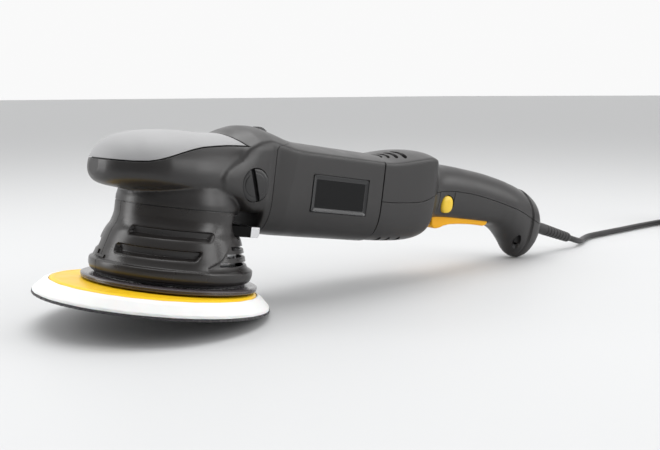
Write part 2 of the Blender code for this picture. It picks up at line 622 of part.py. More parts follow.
# ---------------------------------------------------------------- shroud: two halves with a front seam, ribs and louvres
inner_wall = [(37.4, 62.0), (37.4, 56.0), (39.0, 49.0), (41.6, 44.6), (45.3, 34.0), (48.6, 25.0), (48.6, 17.5)]
shroud_loop = SHROUD + inner_wall[::-1]
for side, name in ((-1, "shroud_left"), (1, "shroud_right")):
    half = turned(name, shroud_loop, "shroud_plastic", steps=36)
    if side < 0:
        keep = box(name + "_half", (-80, -80, 0), (80, -GAP / 2, 90), cutter=True)
    else:
        keep = box(name + "_half", (-80, GAP / 2, 0), (80, 80, 90), cutter=True)
    combine(half, keep, "INTERSECT")
    half_cuts = [box(name + "_rear_gap", (23.9, -60, 46.2), (90, 60, 70), cutter=True)]
    for row, (low, high) in enumerate(((38.6, 40.8), (33.8, 36.2), (28.8, 31.2))):
        half_cuts.append(sector("%s_louvre_%d" % (name, row), 30, 62, low, high, side * 8, side * 78, 8))
    half_cuts.append(sector(name + "_rib_1", 40.4, 62, 43.6, 48.9, side * 86, side * 158, 8))
    half_cuts.append(sector(name + "_rib_2", 44.9, 62, 31.5, 37.2, side * 98, side * 166, 8))
    cut(half, *half_cuts)
shroud_clip = sector("shroud_clip", 50.5, 51.6, 26.7, 31.4, 172, 190, 4, "black_plastic", cutter=False)

# ---------------------------------------------------------------- head cover and palm pad
head_stations = between(HEAD, -60.4, 68.0)
pad_zone = [(-75, 135)] + PAD_LINE[:-1] + [(23.4, 135)]
pad_gap = [(-75, 135)] + [(x + (GAP if x > 19 else 0), z - GAP) for x, z in PAD_LINE[:-1]] + [(23.4 + GAP, 135)]
head_inner_stations = between(HEAD, -52.5, 75.0)

pad_shell_cut = loft("pad_core", between(HEAD, -57.0, 40.0), inset=PAD_THICK, cutter=True, count=16)
palm_pad = loft("palm_pad", between(HEAD, -60.4, 30.0), "pad_rubber")
combine(palm_pad, plate("pad_side", pad_zone, -60, 60, cutter=True), "INTERSECT")
cut(palm_pad, pad_shell_cut)

head_cover = loft("head_cover", head_stations, "body_plastic")
nose_space = plate("pad_gap_side", pad_gap, -60, 60, cutter=True)
kept_core = loft("kept_core", between(HEAD, -56.7, 40.0), inset=PAD_THICK + GAP, cutter=True, count=16)
cut(nose_space, kept_core)
cut(head_cover, nose_space)
neck = turned("neck", [(0, 80.0), (37.4, 80.0), (38.0, 72.0), (39.2, 67.0), (39.8, SHROUD_SEAM + GAP),
                       (0, SHROUD_SEAM + GAP)], steps=30, cutter=True)
join(head_cover, neck)
head_core = loft("head_core", head_inner_stations, inset=HEAD_WALL, cutter=True, count=16)
cut(head_cover, head_core)
cut(head_cover, rod("neck_bore", 50, 67.5, 37.2, steps=30, cutter=True))
cut(head_cover, rod("case_room", 60, 95, 29.2, steps=26, cutter=True))
cut(head_cover, rod("commutator_room", 20.0, 43.0, 13.8, centre=AXIS, along="x", steps=20, cutter=True))
seam_tail = plate("seam_1_tail", [(SEAM_1, 30), (SEAM_1, 105.5), (52.5, 108.0), (66.0, 111.5), (66.0, 140), (120, 140),
                                  (120, 30)], -60, 60, cutter=True)
cut(head_cover, seam_tail)
cut(head_cover, box("dial_slot", (DIAL[0] - 9.4, -4.3, 100), (DIAL[0] + 9.4, 4.3, 130), cutter=True))
cut(head_cover, rod("dial_axle_bore", -7.4, -3.0, 2.0, centre=(DIAL[0], 0, DIAL[1]), along="y", steps=12, cutter=True))
for side in (-1, 1):
    bore = turned("cap_bore_%d" % (side + 1), [(0, 50), (10.9, 50), (10.9, 30.1), (8.9, 30.1), (8.9, 20), (0, 20)],
                  centre=(BRUSH_X, 0, MOTOR_Z), along="y", steps=20, cutter=True)
    if side < 0:
        bore.rotation_euler = (math.pi / 2, 0, 0)
    cut(head_cover, bore)

speed_dial = turned("speed_dial", [(0, 3.6), (7.2, 3.6), (DIAL_R, 2.6), (DIAL_R, -2.6), (7.2, -3.6), (1.6, -3.6),
                                   (1.6, -6.4), (0, -6.4)], "black_plastic", (DIAL[0], 0, DIAL[1]), "y", 24)

# ---------------------------------------------------------------- motor housing
motor_housing = loft("motor_housing", between(HEAD, SEAM_1 - 1, 144.7), "body_plastic")
cut(motor_housing, loft("motor_core", between(HEAD, SEAM_1 - 8, 145) + [(150.0,) + tuple(HEAD[-1][1:])], inset=2.8,
                        cutter=True, count=16))
front_side = plate("seam_1_front", [(SEAM_1 + GAP, 30), (SEAM_1 + GAP, 105.1), (52.6, 107.6), (66.0 + GAP, 111.2),
                                    (66.0 + GAP, 140), (20, 140), (20, 30)], -60, 60, cutter=True)
cut(motor_housing, front_side)
badge_outline = [(82.2, 67.0), (131.6, 67.0), (131.6, 92.6), (82.2, 92.6)]
badge_inner = [(82.6, 67.4), (131.2, 67.4), (131.2, 92.2), (82.6, 92.2)]
for side, hand in ((-1, "left"), (1, "right")):
    lo, hi = sorted((side * 31.7, side * 36.0))
    cut(motor_housing, plate("badge_recess_" + hand, badge_outline, lo, hi, cutter=True))
    lo, hi = sorted((side * 32.0, side * 32.7))
    plate("name_plate_" + hand, badge_inner, lo, hi, "gloss_black")

# ---------------------------------------------------------------- rear clam shells and handle
upper_side = [(x, z + GAP / 2) for x, z in PART_LINE] + [(380, 140), (130, 140)]
lower_side = [(x, z - GAP / 2) for x, z in PART_LINE] + [(380, 20), (130, 20)]
rear_core = loft("rear_core", [(138.0,) + tuple(REAR[0][1:])] + between(REAR, 145.0, 351.0), inset=WALL, cutter=True, count=16)
handle_upper = loft("handle_upper", between(REAR, 145.3, 353.6), "body_plastic")
combine(handle_upper, plate("upper_side", upper_side, -60, 60, cutter=True), "INTERSECT")
cut(handle_upper, rear_core)
handle_lower = loft("handle_lower", between(REAR, 145.3, 353.6), "body_plastic")
combine(handle_lower, plate("lower_side", lower_side, -60, 60, cutter=True), "INTERSECT")
cut(handle_lower, rear_core)
upper_cuts, lower_cuts = [], []
for index, x in enumerate((153.0, 159.4, 166.4, 174.0)):
    reach = 20.0 + 1.6 * index
    for side in (-1, 1):
        lo, hi = sorted((side * 9.0, side * (reach + 8)))
        upper_cuts.append(box("vent_top_%d_%d" % (index, side + 1), (x - 0.9, lo, 103.0), (x + 0.9, hi, 126), cutter=True))
for index, x in enumerate((157.0, 166.0, 175.0)):
    for side in (-1, 1):
        lo, hi = sorted((side * 10.0, side * 26.0))
        lower_cuts.append(box("vent_low_%d_%d" % (index, side + 1), (x - 1.0, lo, 40), (x + 1.0, hi, 56.5), cutter=True))
# bosses for the trigger pin and the screws
lower_bosses = []
for side in (-1, 1):
    lo, hi = sorted((side * 12.3, side * 15.0))
    lower_bosses.append(box("pin_boss_%d" % (side + 1), (275.4, lo, 71.5), (282.6, hi, 79.2), cutter=True))
SCREWS = [(320.0, 11.0, 66.0), (320.0, -11.0, 66.0)]
for index, (sx, sy, seat) in enumerate(SCREWS):
    boss = rod("screw_boss_%d" % index, 56.0, 74.0, 4.8, centre=(sx, sy, 0), steps=12, cutter=True)
    combine(boss, loft("boss_limit_%d" % index, between(REAR, 292.0, 350.0), inset=0.8, cutter=True, count=16), "INTERSECT")
    lower_bosses.append(boss)
combine_all(handle_lower, lower_bosses, "UNION")
lower_cuts += [
    box("trigger_opening", (216.0, -11.8, 50), (284.6, 11.8, 79.8), cutter=True),
    rod("pin_bore", -13.9, 13.9, 2.1, centre=(PIVOT[0], 0, PIVOT[1]), along="y", steps=10, cutter=True),
]
for index, (sx, sy, seat) in enumerate(SCREWS):
    lower_cuts += [rod("screw_well_%d" % index, 40.0, seat, 3.5, centre=(sx, sy, 0), steps=12, cutter=True),
                   rod("screw_hole_%d" % index, 60.0, 90.0, 2.1, centre=(sx, sy, 0), steps=8, cutter=True)]
    turned("handle_screw_" + ("right" if sy > 0 else "left"),
           [(0, 79.0), (1.8, 79.0), (1.8, seat - 0.3), (3.2, seat - 0.3), (3.0, seat - 2.6), (0, seat - 2.6)], "steel",
           (sx, sy, 0), steps=10)
button_hole = rod("button_hole", 9.5, 40.0, 7.2, centre=(BUTTON[0], 0, BUTTON[1]), along="y", steps=20, cutter=True)
button_hole.rotation_euler = (math.pi / 2, 0, 0)
lower_cuts.append(button_hole)
relief_axis = Vector((math.cos(RELIEF_DROP), 0, -math.sin(RELIEF_DROP)))
relief_bore = rod("relief_bore", -12.0, 12.0, 5.5, centre=RELIEF_BASE, steps=16, cutter=True)
relief_bore.rotation_euler = (0, math.pi / 2 + RELIEF_DROP, 0)
upper_bore = relief_bore.copy()
upper_bore.name = "relief_bore_upper"
tools_col.objects.link(upper_bore)
lower_cuts.append(relief_bore)
upper_cuts.append(upper_bore)
cut(handle_lower, *lower_cuts)
cut(handle_upper, *upper_cuts)

# trigger paddle, pin and spring
trigger_outline = [(219.2, 72.4), (218.8, 69.0), (219.4, 64.0), (221.6, 61.8), (225.4, 61.4), (229.2, 62.2),
                   (233.0, 64.0), (240.0, 65.6), (250.0, 66.5), (262.0, 67.0), (272.0, 67.0), (279.0, 66.6),
                   (282.4, 67.6), (283.4, 70.0), (283.6, 75.0), (282.6, 78.0), (279.0, 79.6), (275.4, 78.0),
                   (273.6, 74.4), (262.0, 73.6), (248.6, 73.6), (247.6, 76.4), (242.4, 76.4), (241.4, 73.6),
                   (222.0, 73.6)]
trigger = plate("trigger", trigger_outline, -10.9, 10.9, "orange_plastic")
cut(trigger, rod("trigger_bore", -20, 20, 2.1, centre=(PIVOT[0], 0, PIVOT[1]), along="y", steps=10, cutter=True))
trigger_pin = rod("trigger_pin", -13.6, 13.6, 1.8, "steel", (PIVOT[0], 0, PIVOT[1]), "y", 10)
spring_route = []
for step in range(19):
    angle = 2 * math.pi * step / 6
    spring_route.append((230.5 + 3.4 * math.cos(angle), 3.4 * math.sin(angle), 74.5 + 4.6 * step / 18))
trigger_spring = tube("trigger_spring", spring_route, 0.8, "steel", 0)
switch = box("switch", (221.0, -9.0, 80.0), (262.0, 9.0, 101.0), "black_plastic")
bevel(switch, 1.2)

# lock-on button
lock_button = turned("lock_button", [(0, 19.9), (4.6, 19.9), (6.1, 19.2), (6.7, 17.8), (6.7, 13.3), (4.3, 13.3),
                                     (4.3, 16.4), (0, 15.4)], "yellow_plastic", (BUTTON[0], 0, BUTTON[1]), "y", 20)
lock_button.rotation_euler = (math.pi / 2, 0, 0)

# speed module, clamp, strain relief and wiring
speed_module = box("speed_module", (152.0, -19.0, 90.0), (192.0, 19.0, 103.0), "board_green")
fins = [box("module_fin_%d" % i, (155.0 + 6 * i, -15.0, 102.5), (157.4 + 6 * i, 15.0, 107.5), cutter=True) for i in range(6)]
join(speed_module, *fins)
cord_clamp = plate("cord_clamp", [(329.0, 63.0), (339.0, 63.0), (339.0, 67.4), (329.0, 67.4)], -9.5, 9.5,
                   "black_plastic")
bevel(cord_clamp, 0.8)
strain_relief = turned("strain_relief", [(0, RELIEF_LEN), (3.7, RELIEF_LEN), (4.5, RELIEF_LEN - 1.4), (5.0, 6.0),
                                         (5.1, -4.8), (7.4, -4.8), (7.4, -7.6), (0, -7.6)], "black_plastic",
                       RELIEF_BASE, steps=16)
strain_relief.rotation_euler = (0, math.pi / 2 + RELIEF_DROP, 0)
mains_route = smooth_route([(346.2, 0, 71.6), (338, 0, 72.4), (325, 0, 75.6), (300, 0, 82), (280, 0, 89), (262.4, 0, 92)], 12)
mains_wiring = tube("mains_wiring", mains_route, 5.0, "cord_rubber", 1)

# ---------------------------------------------------------------- rest pose: tipped onto the plate's rear edge and the pommel
turn_to_rest = Matrix.Rotation(TILT, 4, "Y")
low_corner = turn_to_rest @ Vector((PLATE_REAR_X, 0, 0))
front_edge = (turn_to_rest @ Vector((-ECC - PLATE_R * math.cos(math.pi / PLATE_SEGS), 0, 0))).x
tip = Vector(RELIEF_BASE) + relief_axis * RELIEF_LEN
tip_rest = turn_to_rest @ tip
tip_dir = turn_to_rest.to_3x3() @ relief_axis
tip_reach = max(tip_rest.x + 3.7 * abs(tip_dir.z),
                (turn_to_rest @ (tip - relief_axis * 1.4)).x + 4.5 * abs(tip_dir.z))
SHIFT = Vector((-(front_edge + tip_reach) / 2, 0, -low_corner.z))
rig.matrix_world = Matrix.Translation(SHIFT * MM) @ turn_to_rest

# ---------------------------------------------------------------- moving pieces hang from their joints' axes
spindle_axis = axis_empty("spindle_axis", (0, 0, 0))
plate_axis = axis_empty("plate_axis", (-ECC, 0, 0))
motor_axis = axis_empty("motor_axis", AXIS)
trigger_axis = axis_empty("trigger_axis", (PIVOT[0], 0, PIVOT[1]))
button_axis = axis_empty("button_axis", (BUTTON[0], 0, BUTTON[1]))
dial_axis = axis_empty("dial_axis", (DIAL[0], 0, DIAL[1]))
for piece in (spindle, ring_gear, eccentric_hub, counterweight, balance_disc, plate_bearing):
    hang(piece, spindle_axis)
for piece in (plate_spindle, plate_carrier, plate_foam, hook_layer, plate_bolt):
    hang(piece, plate_axis)
for piece in (motor_shaft, pinion, commutator, armature_core, armature_windings, fan):
    hang(piece, motor_axis)
hang(trigger, trigger_axis)
hang(lock_button, button_axis)
hang(speed_dial, dial_axis)

# ---------------------------------------------------------------- mains lead on the table
start = tip_rest + SHIFT + tip_dir * GAP
R = CORD_D / 2
FLOOR = R + 0.05
JOIN_TURN = math.radians(25)
JOIN_R = COIL_OUT + R + GAP
CORD_ROUTE = [
    tuple(start),
    tuple(start + tip_dir * 8.0),
    (start.x + 22, 4.0, 3.7),
    (start.x + 38, 12.0, FLOOR),
    (start.x + 56, 19.0, FLOOR),
    (start.x + 78, 22.0, FLOOR),
    (start.x + 114, 25.0, FLOOR),
    (start.x + 155, 29.0, FLOOR),
    (start.x + 198, 31.6, FLOOR),
    (start.x + 232, 29.6, FLOOR),
    (start.x + 260, 18.0, FLOOR),
    (COIL_CENTRE[0] + (JOIN_R + 0.6) * math.cos(JOIN_TURN + 0.3), COIL_CENTRE[1] + (JOIN_R + 0.6) * math.sin(JOIN_TURN + 0.3),
     FLOOR),
    (COIL_CENTRE[0] + JOIN_R * math.cos(JOIN_TURN), COIL_CENTRE[1] + JOIN_R * math.sin(JOIN_TURN), FLOOR),
]
cord_lead = tube("cord_lead", smooth_route(CORD_ROUTE, 12.0), CORD_D, "cord_rubber", 2, parent=False)
cord_coil = turned("cord_coil", [(COIL_OUT - 3, COIL_HIGH), (COIL_OUT, COIL_HIGH - 3), (COIL_OUT, 3.0), (COIL_OUT - 3, 0.05),
                                 (COIL_IN + 3, 0.05), (COIL_IN, 3.0), (COIL_IN, COIL_HIGH - 3), (COIL_IN + 3, COIL_HIGH)],
                   "cord_rubber", (COIL_CENTRE[0], COIL_CENTRE[1], 0), steps=32)
cord_coil.parent = None

# plug: two round pins, moulded body with finger waist, lying on the coil
PLUG = [(-29.0, 3.4, 3.4, 2.2), (-12.0, 5.0, 4.6, 2.2), (-9.5, 9.5, 6.6, 2.6), (-2.0, 12.0, 7.4, 2.8), (6.0, 11.0, 7.0, 2.8),
        (14.0, 15.6, 7.8, 3.0), (21.0, 17.0, 8.0, 3.2), (24.0, 17.0, 8.0, 3.2)]
plug_stations = [(x, wide, thick, -thick, 0.0, square, square) for x, wide, thick, square in PLUG]
cord_plug = loft("cord_plug", plug_stations, "black_plastic", count=16)
PLUG_MID = (COIL_CENTRE[0] + 14.0, COIL_CENTRE[1] + 22.5, COIL_HIGH + GAP + 8.05)
for side in (-1, 1):
    pin = rod("plug_pin_%d" % (side + 1), 22.0, 43.0, 2.4, centre=(0, side * 9.5, 0), along="x", steps=10, cutter=True)
    pin.parent = None
    pin.data.transform(pin.matrix_basis)
    pin.matrix_basis = Matrix.Identity(4)
    join(cord_plug, pin)
    pin.location = Vector(PLUG_MID) * MM
cord_plug.parent = None
cord_plug.location = Vector(PLUG_MID) * MM

for obj in scene.objects:
    if obj.type == "MESH" and not obj.hide_render and obj.data.polygons:
        smooth(obj)
for obj in scene.objects:
    if obj.type == "MESH" and not obj.hide_render and not obj.data.polygons:
        for mod in obj.modifiers:
            if mod.type == "SCREW":
                mod.use_smooth_shade = True
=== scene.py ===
"""Looks for the dual action polisher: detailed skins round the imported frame, in the same frame as the CAD."""
import json
from contextlib import contextmanager
from math import asin, atan2, cos, pi, radians, sin, tan

import bmesh
import bpy
import numpy as np
from mathutils import Matrix, Vector


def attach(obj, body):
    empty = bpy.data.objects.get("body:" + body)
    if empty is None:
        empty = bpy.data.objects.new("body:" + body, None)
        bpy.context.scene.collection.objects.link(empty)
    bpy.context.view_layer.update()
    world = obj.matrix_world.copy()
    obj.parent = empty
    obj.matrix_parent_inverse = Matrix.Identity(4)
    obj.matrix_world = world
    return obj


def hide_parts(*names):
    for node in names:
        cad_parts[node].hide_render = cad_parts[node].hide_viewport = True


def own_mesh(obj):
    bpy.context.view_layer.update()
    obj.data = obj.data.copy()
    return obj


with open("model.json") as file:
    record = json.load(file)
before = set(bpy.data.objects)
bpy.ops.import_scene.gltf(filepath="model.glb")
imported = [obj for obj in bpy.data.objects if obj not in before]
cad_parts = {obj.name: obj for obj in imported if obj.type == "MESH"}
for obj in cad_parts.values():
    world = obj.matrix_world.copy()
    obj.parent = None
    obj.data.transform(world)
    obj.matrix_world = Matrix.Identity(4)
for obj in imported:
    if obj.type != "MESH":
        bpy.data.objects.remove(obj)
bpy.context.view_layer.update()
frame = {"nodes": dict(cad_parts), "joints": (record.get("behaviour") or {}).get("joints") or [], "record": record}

MM = 0.001
JOINTS = {joint["name"]: joint for joint in frame["joints"]}
SPIN = JOINTS["spindle_spin"]
TILT = asin(SPIN["axis"][0])
# the tool frame: origin on the spindle axis at the pad face, +Z up the spindle, +X towards the handle
REST = Matrix.Translation(Vector(SPIN["pos_m"])) @ Matrix.Rotation(TILT, 4, "Y")
TO_TOOL = REST.inverted()
SIDES = ((-1, "left"), (1, "right"))
UPRIGHT = (0, 0, 1)
MOTOR_Z = 81        # height of the motor's axis
ECC = 10.5            # the plate's axis is this far from the spindle's


def linked(name, data):
    """New object in the scene."""
    obj = bpy.data.objects.new(name, data)
    bpy.context.scene.collection.objects.link(obj)
    return obj


# ---- camera
CAM_AZ, CAM_EL, CAM_ROLL = (radians(a) for a in (-37.70, 8.146, -0.375))
CAM_AT = (-0.43773, -0.5272, 0.14230)
cam_data = bpy.data.cameras.new("camera")
cam_data.sensor_width = 36
cam_data.lens = 50.018
cam = linked("camera", cam_data)
look = Vector((-sin(CAM_AZ) * cos(CAM_EL), cos(CAM_AZ) * cos(CAM_EL), -sin(CAM_EL)))
across = Vector((cos(CAM_AZ), sin(CAM_AZ), 0))
over = across.cross(look)
right = across * cos(CAM_ROLL) + over * sin(CAM_ROLL)
up = over * cos(CAM_ROLL) - across * sin(CAM_ROLL)
turn = Matrix((right, up, -look)).transposed().to_4x4()
cam.matrix_world = Matrix.Translation(CAM_AT) @ turn
bpy.context.scene.camera = cam


# ---- materials
class Wires:
    """Short calls that wire a node tree."""

    def __init__(self, tree):
        self.tree = tree

    def node(self, kind, **values):
        made = self.tree.nodes.new(kind)
        for key, value in values.items():
            setattr(made, key, value)
        return made

    def link(self, a, b):
        self.tree.links.new(a, b)

    def feed(self, socket, value):
        """Links a socket to another one, or sets its constant."""
        if isinstance(value, bpy.types.NodeSocket):
            self.link(value, socket)
        else:
            socket.default_value = value

    def ramp(self, source, low, high, a, b, how="LINEAR"):
        """Maps source from low..high to a..b."""
        made = self.node("ShaderNodeMapRange", interpolation_type=how)
        for key, value in (("Value", source), ("From Min", low), ("From Max", high), ("To Min", a), ("To Max", b)):
            self.feed(made.inputs[key], value)
        return made.outputs["Result"]

    def math(self, how, a, b):
        made = self.node("ShaderNodeMath", operation=how)
        self.feed(made.inputs[0], a)
        self.feed(made.inputs[1], b)
        return made.outputs[0]


class Shader(Wires):
    """One Principled material."""

    def __init__(self, name, color, rough, metallic):
        self.mat = bpy.data.materials.new("look_" + name)
        self.mat.use_nodes = True
        super().__init__(self.mat.node_tree)
        self.main = self.tree.nodes["Principled BSDF"]
        self.color = (*color, 1)
        self.rough = rough
        self.set(Base_Color=self.color, Roughness=rough, Metallic=metallic)
        self.coords = self.tree.nodes.new("ShaderNodeTexCoord").outputs["Object"]
        self.normal = None

    def set(self, **values):
        for key, value in values.items():
            self.main.inputs[key.replace("_", " ")].default_value = value

    def stretch(self, scale):
        mapping = self.node("ShaderNodeMapping")
        mapping.inputs["Scale"].default_value = scale
        self.link(self.coords, mapping.inputs["Vector"])
        return mapping.outputs["Vector"]

    def noise(self, scale, detail=4, rough=0.55, vector=None):
        made = self.node("ShaderNodeTexNoise")
        made.inputs["Scale"].default_value = scale
        made.inputs["Detail"].default_value = detail
        made.inputs["Roughness"].default_value = rough
        self.link(vector or self.coords, made.inputs["Vector"])
        return made.outputs["Fac"]

    def mix(self, factor, a, b):
        made = self.node("ShaderNodeMix", data_type="RGBA")
        for number, value in ((0, factor), (6, a), (7, b)):
            self.feed(made.inputs[number], value)
        return made.outputs[2]

    def mottle(self, scale, amount, detail=5):
        """Slow colour variation."""
        dark, light = ((*(min(1, c * share) for c in self.color[:3]), 1) for share in (1 - amount, 1 + amount))
        self.link(self.mix(self.ramp(self.noise(scale, detail), 0.3, 0.7, 0, 1), dark, light),
                  self.main.inputs["Base Color"])

    def wear(self, color, low, high, breakup=260):
        """Lighter worn edges, broken up by noise. It follows mottle."""
        edge = self.ramp(self.node("ShaderNodeNewGeometry").outputs["Pointiness"], low, high, 0, 1)
        broken = self.math("MULTIPLY", edge, self.ramp(self.noise(breakup), 0.42, 0.66, 0, 1))
        base = self.main.inputs["Base Color"]
        self.link(self.mix(broken, base.links[0].from_socket, (*color, 1)), base)

    def gloss(self, scale, spread):
        """Roughness that varies over the surface."""
        self.link(self.ramp(self.noise(scale, 3), 0.3, 0.7, self.rough - spread, self.rough + spread),
                  self.main.inputs["Roughness"])

    def bend(self, made):
        """Passes the surface normal on through a node."""
        self.normal = made.outputs["Normal"]
        self.link(self.normal, self.main.inputs["Normal"])

    def round_edges(self, radius):
        made = self.node("ShaderNodeBevel", samples=6)
        made.inputs["Radius"].default_value = radius
        self.bend(made)

    def bump(self, height, strength, distance):
        made = self.node("ShaderNodeBump")
        for key, value in (("Strength", strength), ("Distance", distance), ("Height", height)):
            self.feed(made.inputs[key], value)
        if self.normal:
            self.link(self.normal, made.inputs["Normal"])
        self.bend(made)

    def grain(self, scale, strength, distance, detail=3):
        self.bump(self.noise(scale, detail), strength, distance)

    def brushed(self, scale, strength, distance):
        """Fine lines across the local Z axis."""
        self.bump(self.noise(scale, 2, vector=self.stretch((1, 1, 12))), strength, distance)

    def windings(self, scale, strength, distance):
        """Rows of wire."""
        wave = self.node("ShaderNodeTexWave", wave_type="BANDS", bands_direction="X")
        for key, value in (("Scale", scale), ("Distortion", 1.5), ("Vector", self.coords)):
            self.feed(wave.inputs[key], value)
        self.bump(wave.outputs["Fac"], strength, distance)


# each look: colour, roughness, metallic, then the Shader methods to call, in order, with what they are given
LOOK_TABLE = {
    "body_plastic": ((0.021, 0.0195, 0.0195), 0.36, 0, dict(
        mottle=(9, 0.06), wear=((0.07, 0.07, 0.072), 0.56, 0.70), gloss=(60, 0.05), round_edges=(0.00045,),
        grain=(2600, 0.22, 0.00006))),
    "shroud_plastic": ((0.017, 0.015, 0.0145), 0.30, 0, dict(
        mottle=(12, 0.06), gloss=(80, 0.04), round_edges=(0.0005,), grain=(2400, 0.14, 0.00005))),
    "pad_rubber": ((0.33, 0.33, 0.335), 0.55, 0, dict(
        mottle=(18, 0.04), gloss=(50, 0.05), round_edges=(0.0006,), grain=(1500, 0.35, 0.00012),
        set=dict(Sheen_Weight=0.15, Sheen_Roughness=0.5))),
    "black_plastic": ((0.010, 0.0095, 0.010), 0.34, 0, dict(
        mottle=(20, 0.1), gloss=(90, 0.05), round_edges=(0.0003,), grain=(2600, 0.18, 0.00005))),
    "gloss_black": ((0.0025, 0.0025, 0.003), 0.12, 0, dict(
        mottle=(15, 0.08), gloss=(40, 0.02), round_edges=(0.0003,), grain=(180, 0.03, 0.0001),
        set=dict(Specular_IOR_Level=0.18))),
    "yellow_plastic": ((1, 0.60, 0.018), 0.34, 0, dict(
        mottle=(14, 0.05), gloss=(70, 0.05), round_edges=(0.0004,), grain=(1800, 0.12, 0.00006),
        set=dict(Specular_IOR_Level=0.28))),
    "button_yellow": ((0.93, 0.62, 0.035), 0.36, 0, dict(
        mottle=(40, 0.05), gloss=(90, 0.05), round_edges=(0.0004,), grain=(2400, 0.12, 0.00005))),
    "orange_plastic": ((1, 0.46, 0.006), 0.38, 0, dict(
        mottle=(18, 0.06), gloss=(70, 0.05), round_edges=(0.0005,), grain=(2400, 0.18, 0.00006),
        set=dict(Specular_IOR_Level=0.28))),
    "foam_white": ((0.86, 0.86, 0.85), 0.75, 0, dict(
        mottle=(30, 0.03), grain=(1400, 0.35, 0.0002, 6),
        set=dict(Subsurface_Weight=0.15, Subsurface_Scale=0.002, Sheen_Weight=0.1))),
    "hook_fabric": ((0.018, 0.015, 0.020), 0.92, 0, dict(
        mottle=(160, 0.5, 6), grain=(2200, 0.9, 0.0004, 6), set=dict(Sheen_Weight=0.4, Sheen_Roughness=0.6))),
    "disc_enamel": ((0.060, 0.050, 0.056), 0.24, 0, dict(
        mottle=(14, 0.08), gloss=(70, 0.05), wear=((0.22, 0.21, 0.22), 0.56, 0.68), round_edges=(0.0004,),
        grain=(900, 0.08, 0.00006), set=dict(Coat_Weight=0.35, Coat_Roughness=0.12))),
    "steel": ((0.52, 0.52, 0.53), 0.30, 1, dict(
        mottle=(40, 0.08), gloss=(300, 0.08), round_edges=(0.0003,), brushed=(900, 0.12, 0.00004))),
    "aluminium": ((0.64, 0.64, 0.65), 0.34, 1, dict(
        mottle=(60, 0.06), gloss=(200, 0.08), round_edges=(0.0005,), grain=(1400, 0.3, 0.0001))),
    "copper": ((0.60, 0.22, 0.075), 0.28, 0.85, dict(
        mottle=(60, 0.18), gloss=(200, 0.08), windings=(260, 0.6, 0.0003))),
    "carbon": ((0.030, 0.030, 0.032), 0.55, 0, dict(
        mottle=(120, 0.3), gloss=(200, 0.1), grain=(2200, 0.5, 0.0001))),
    "brass": ((0.72, 0.48, 0.17), 0.28, 1, dict(
        mottle=(50, 0.08), gloss=(150, 0.06), round_edges=(0.0003,), grain=(1500, 0.1, 0.00005))),
    "board_green": ((0.016, 0.085, 0.040), 0.38, 0, dict(
        mottle=(90, 0.25), gloss=(120, 0.08), grain=(700, 0.25, 0.0002))),
    "cord_rubber": ((0.020, 0.019, 0.020), 0.44, 0, dict(
        mottle=(30, 0.12), gloss=(100, 0.05), grain=(1800, 0.25, 0.00006))),
    "dark_steel": ((0.06, 0.06, 0.065), 0.42, 0.8, dict(
        mottle=(60, 0.15), gloss=(200, 0.08), grain=(1500, 0.2, 0.00005))),
    "plate_frame": ((0.016, 0.016, 0.017), 0.18, 0, dict(
        mottle=(30, 0.08), gloss=(80, 0.03), grain=(1200, 0.06, 0.00004))),
    # near-black and barely reflecting: painted shade, used on the bearing plate's front as the recess's shade and on
    # the liner in the seam behind the motor housing
    "painted_shade_black": ((0.003, 0.003, 0.003), 0.70, 0, dict(
        mottle=(60, 0.2), gloss=(120, 0.06), grain=(1500, 0.3, 0.0001), set=dict(Specular_IOR_Level=0.12))),
    "nickel": ((0.66, 0.64, 0.60), 0.22, 1, dict(
        mottle=(80, 0.05), gloss=(300, 0.05), grain=(1600, 0.06, 0.00004))),
}


def made_look(name, color, rough, metallic, steps):
    shader = Shader(name, color, rough, metallic)
    for method, given in steps.items():
        if isinstance(given, dict):
            getattr(shader, method)(**given)
        else:
            getattr(shader, method)(*given)
    return shader.mat


LOOKS = {name: made_look(name, *row) for name, row in LOOK_TABLE.items()}

SLOT_OF = {part["node"]: part["material_slot"] for part in frame["record"]["subparts"]}
BODY_OF = {node: body for body, nodes in frame["record"]["behaviour"]["bodies"].items() for node in nodes}

# every CAD node takes the detailed material of its slot
for node, slot in SLOT_OF.items():
    mats = frame["nodes"][node].data.materials
    mats.clear()
    mats.append(LOOKS["dark_steel" if node.startswith("handle_screw") else slot])


# ---- shaping helpers, tool frame in millimetres
def mesh_of(name, points, faces):
    mesh = bpy.data.meshes.new(name)
    mesh.from_pydata([tuple(float(c) * MM for c in p) for p in points], [], faces)
    mesh.update()
    return mesh


@contextmanager
def editing(mesh):
    """The mesh as a bmesh, written back at the end."""
    work = bmesh.new()
    work.from_mesh(mesh)
    yield work
    work.to_mesh(mesh)
    work.free()


def tidy_normals(mesh):
    with editing(mesh) as work:
        bmesh.ops.recalc_face_normals(work, faces=work.faces)
    return mesh


def ring(start, count):
    """Face over one ring of points."""
    return tuple(range(start, start + count))


def tube(rows, count):
    """Faces between rings of points that follow each other."""
    return [(i * count + j, i * count + (j + 1) % count, (i + 1) * count + (j + 1) % count, (i + 1) * count + j)
            for i in range(rows - 1) for j in range(count)]


def baked(obj):
    """Mesh of an object with its modifiers applied; the object is removed."""
    bpy.context.view_layer.update()
    graph = bpy.context.evaluated_depsgraph_get()
    mesh = bpy.data.meshes.new_from_object(obj.evaluated_get(graph))
    bpy.data.objects.remove(obj, do_unlink=True)
    return mesh


def boolean(mesh, cutters, how="DIFFERENCE"):
    """Mesh cut by, joined with, or kept inside the cutters' meshes."""
    obj = linked("tool", mesh)
    helpers = [linked("cutter", cutter) for cutter in cutters]
    for other in helpers:
        mod = obj.modifiers.new("cut", "BOOLEAN")
        mod.operation = how
        mod.solver = "EXACT"
        mod.object = other
    result = baked(obj)
    for other in helpers:
        bpy.data.objects.remove(other, do_unlink=True)
    return result


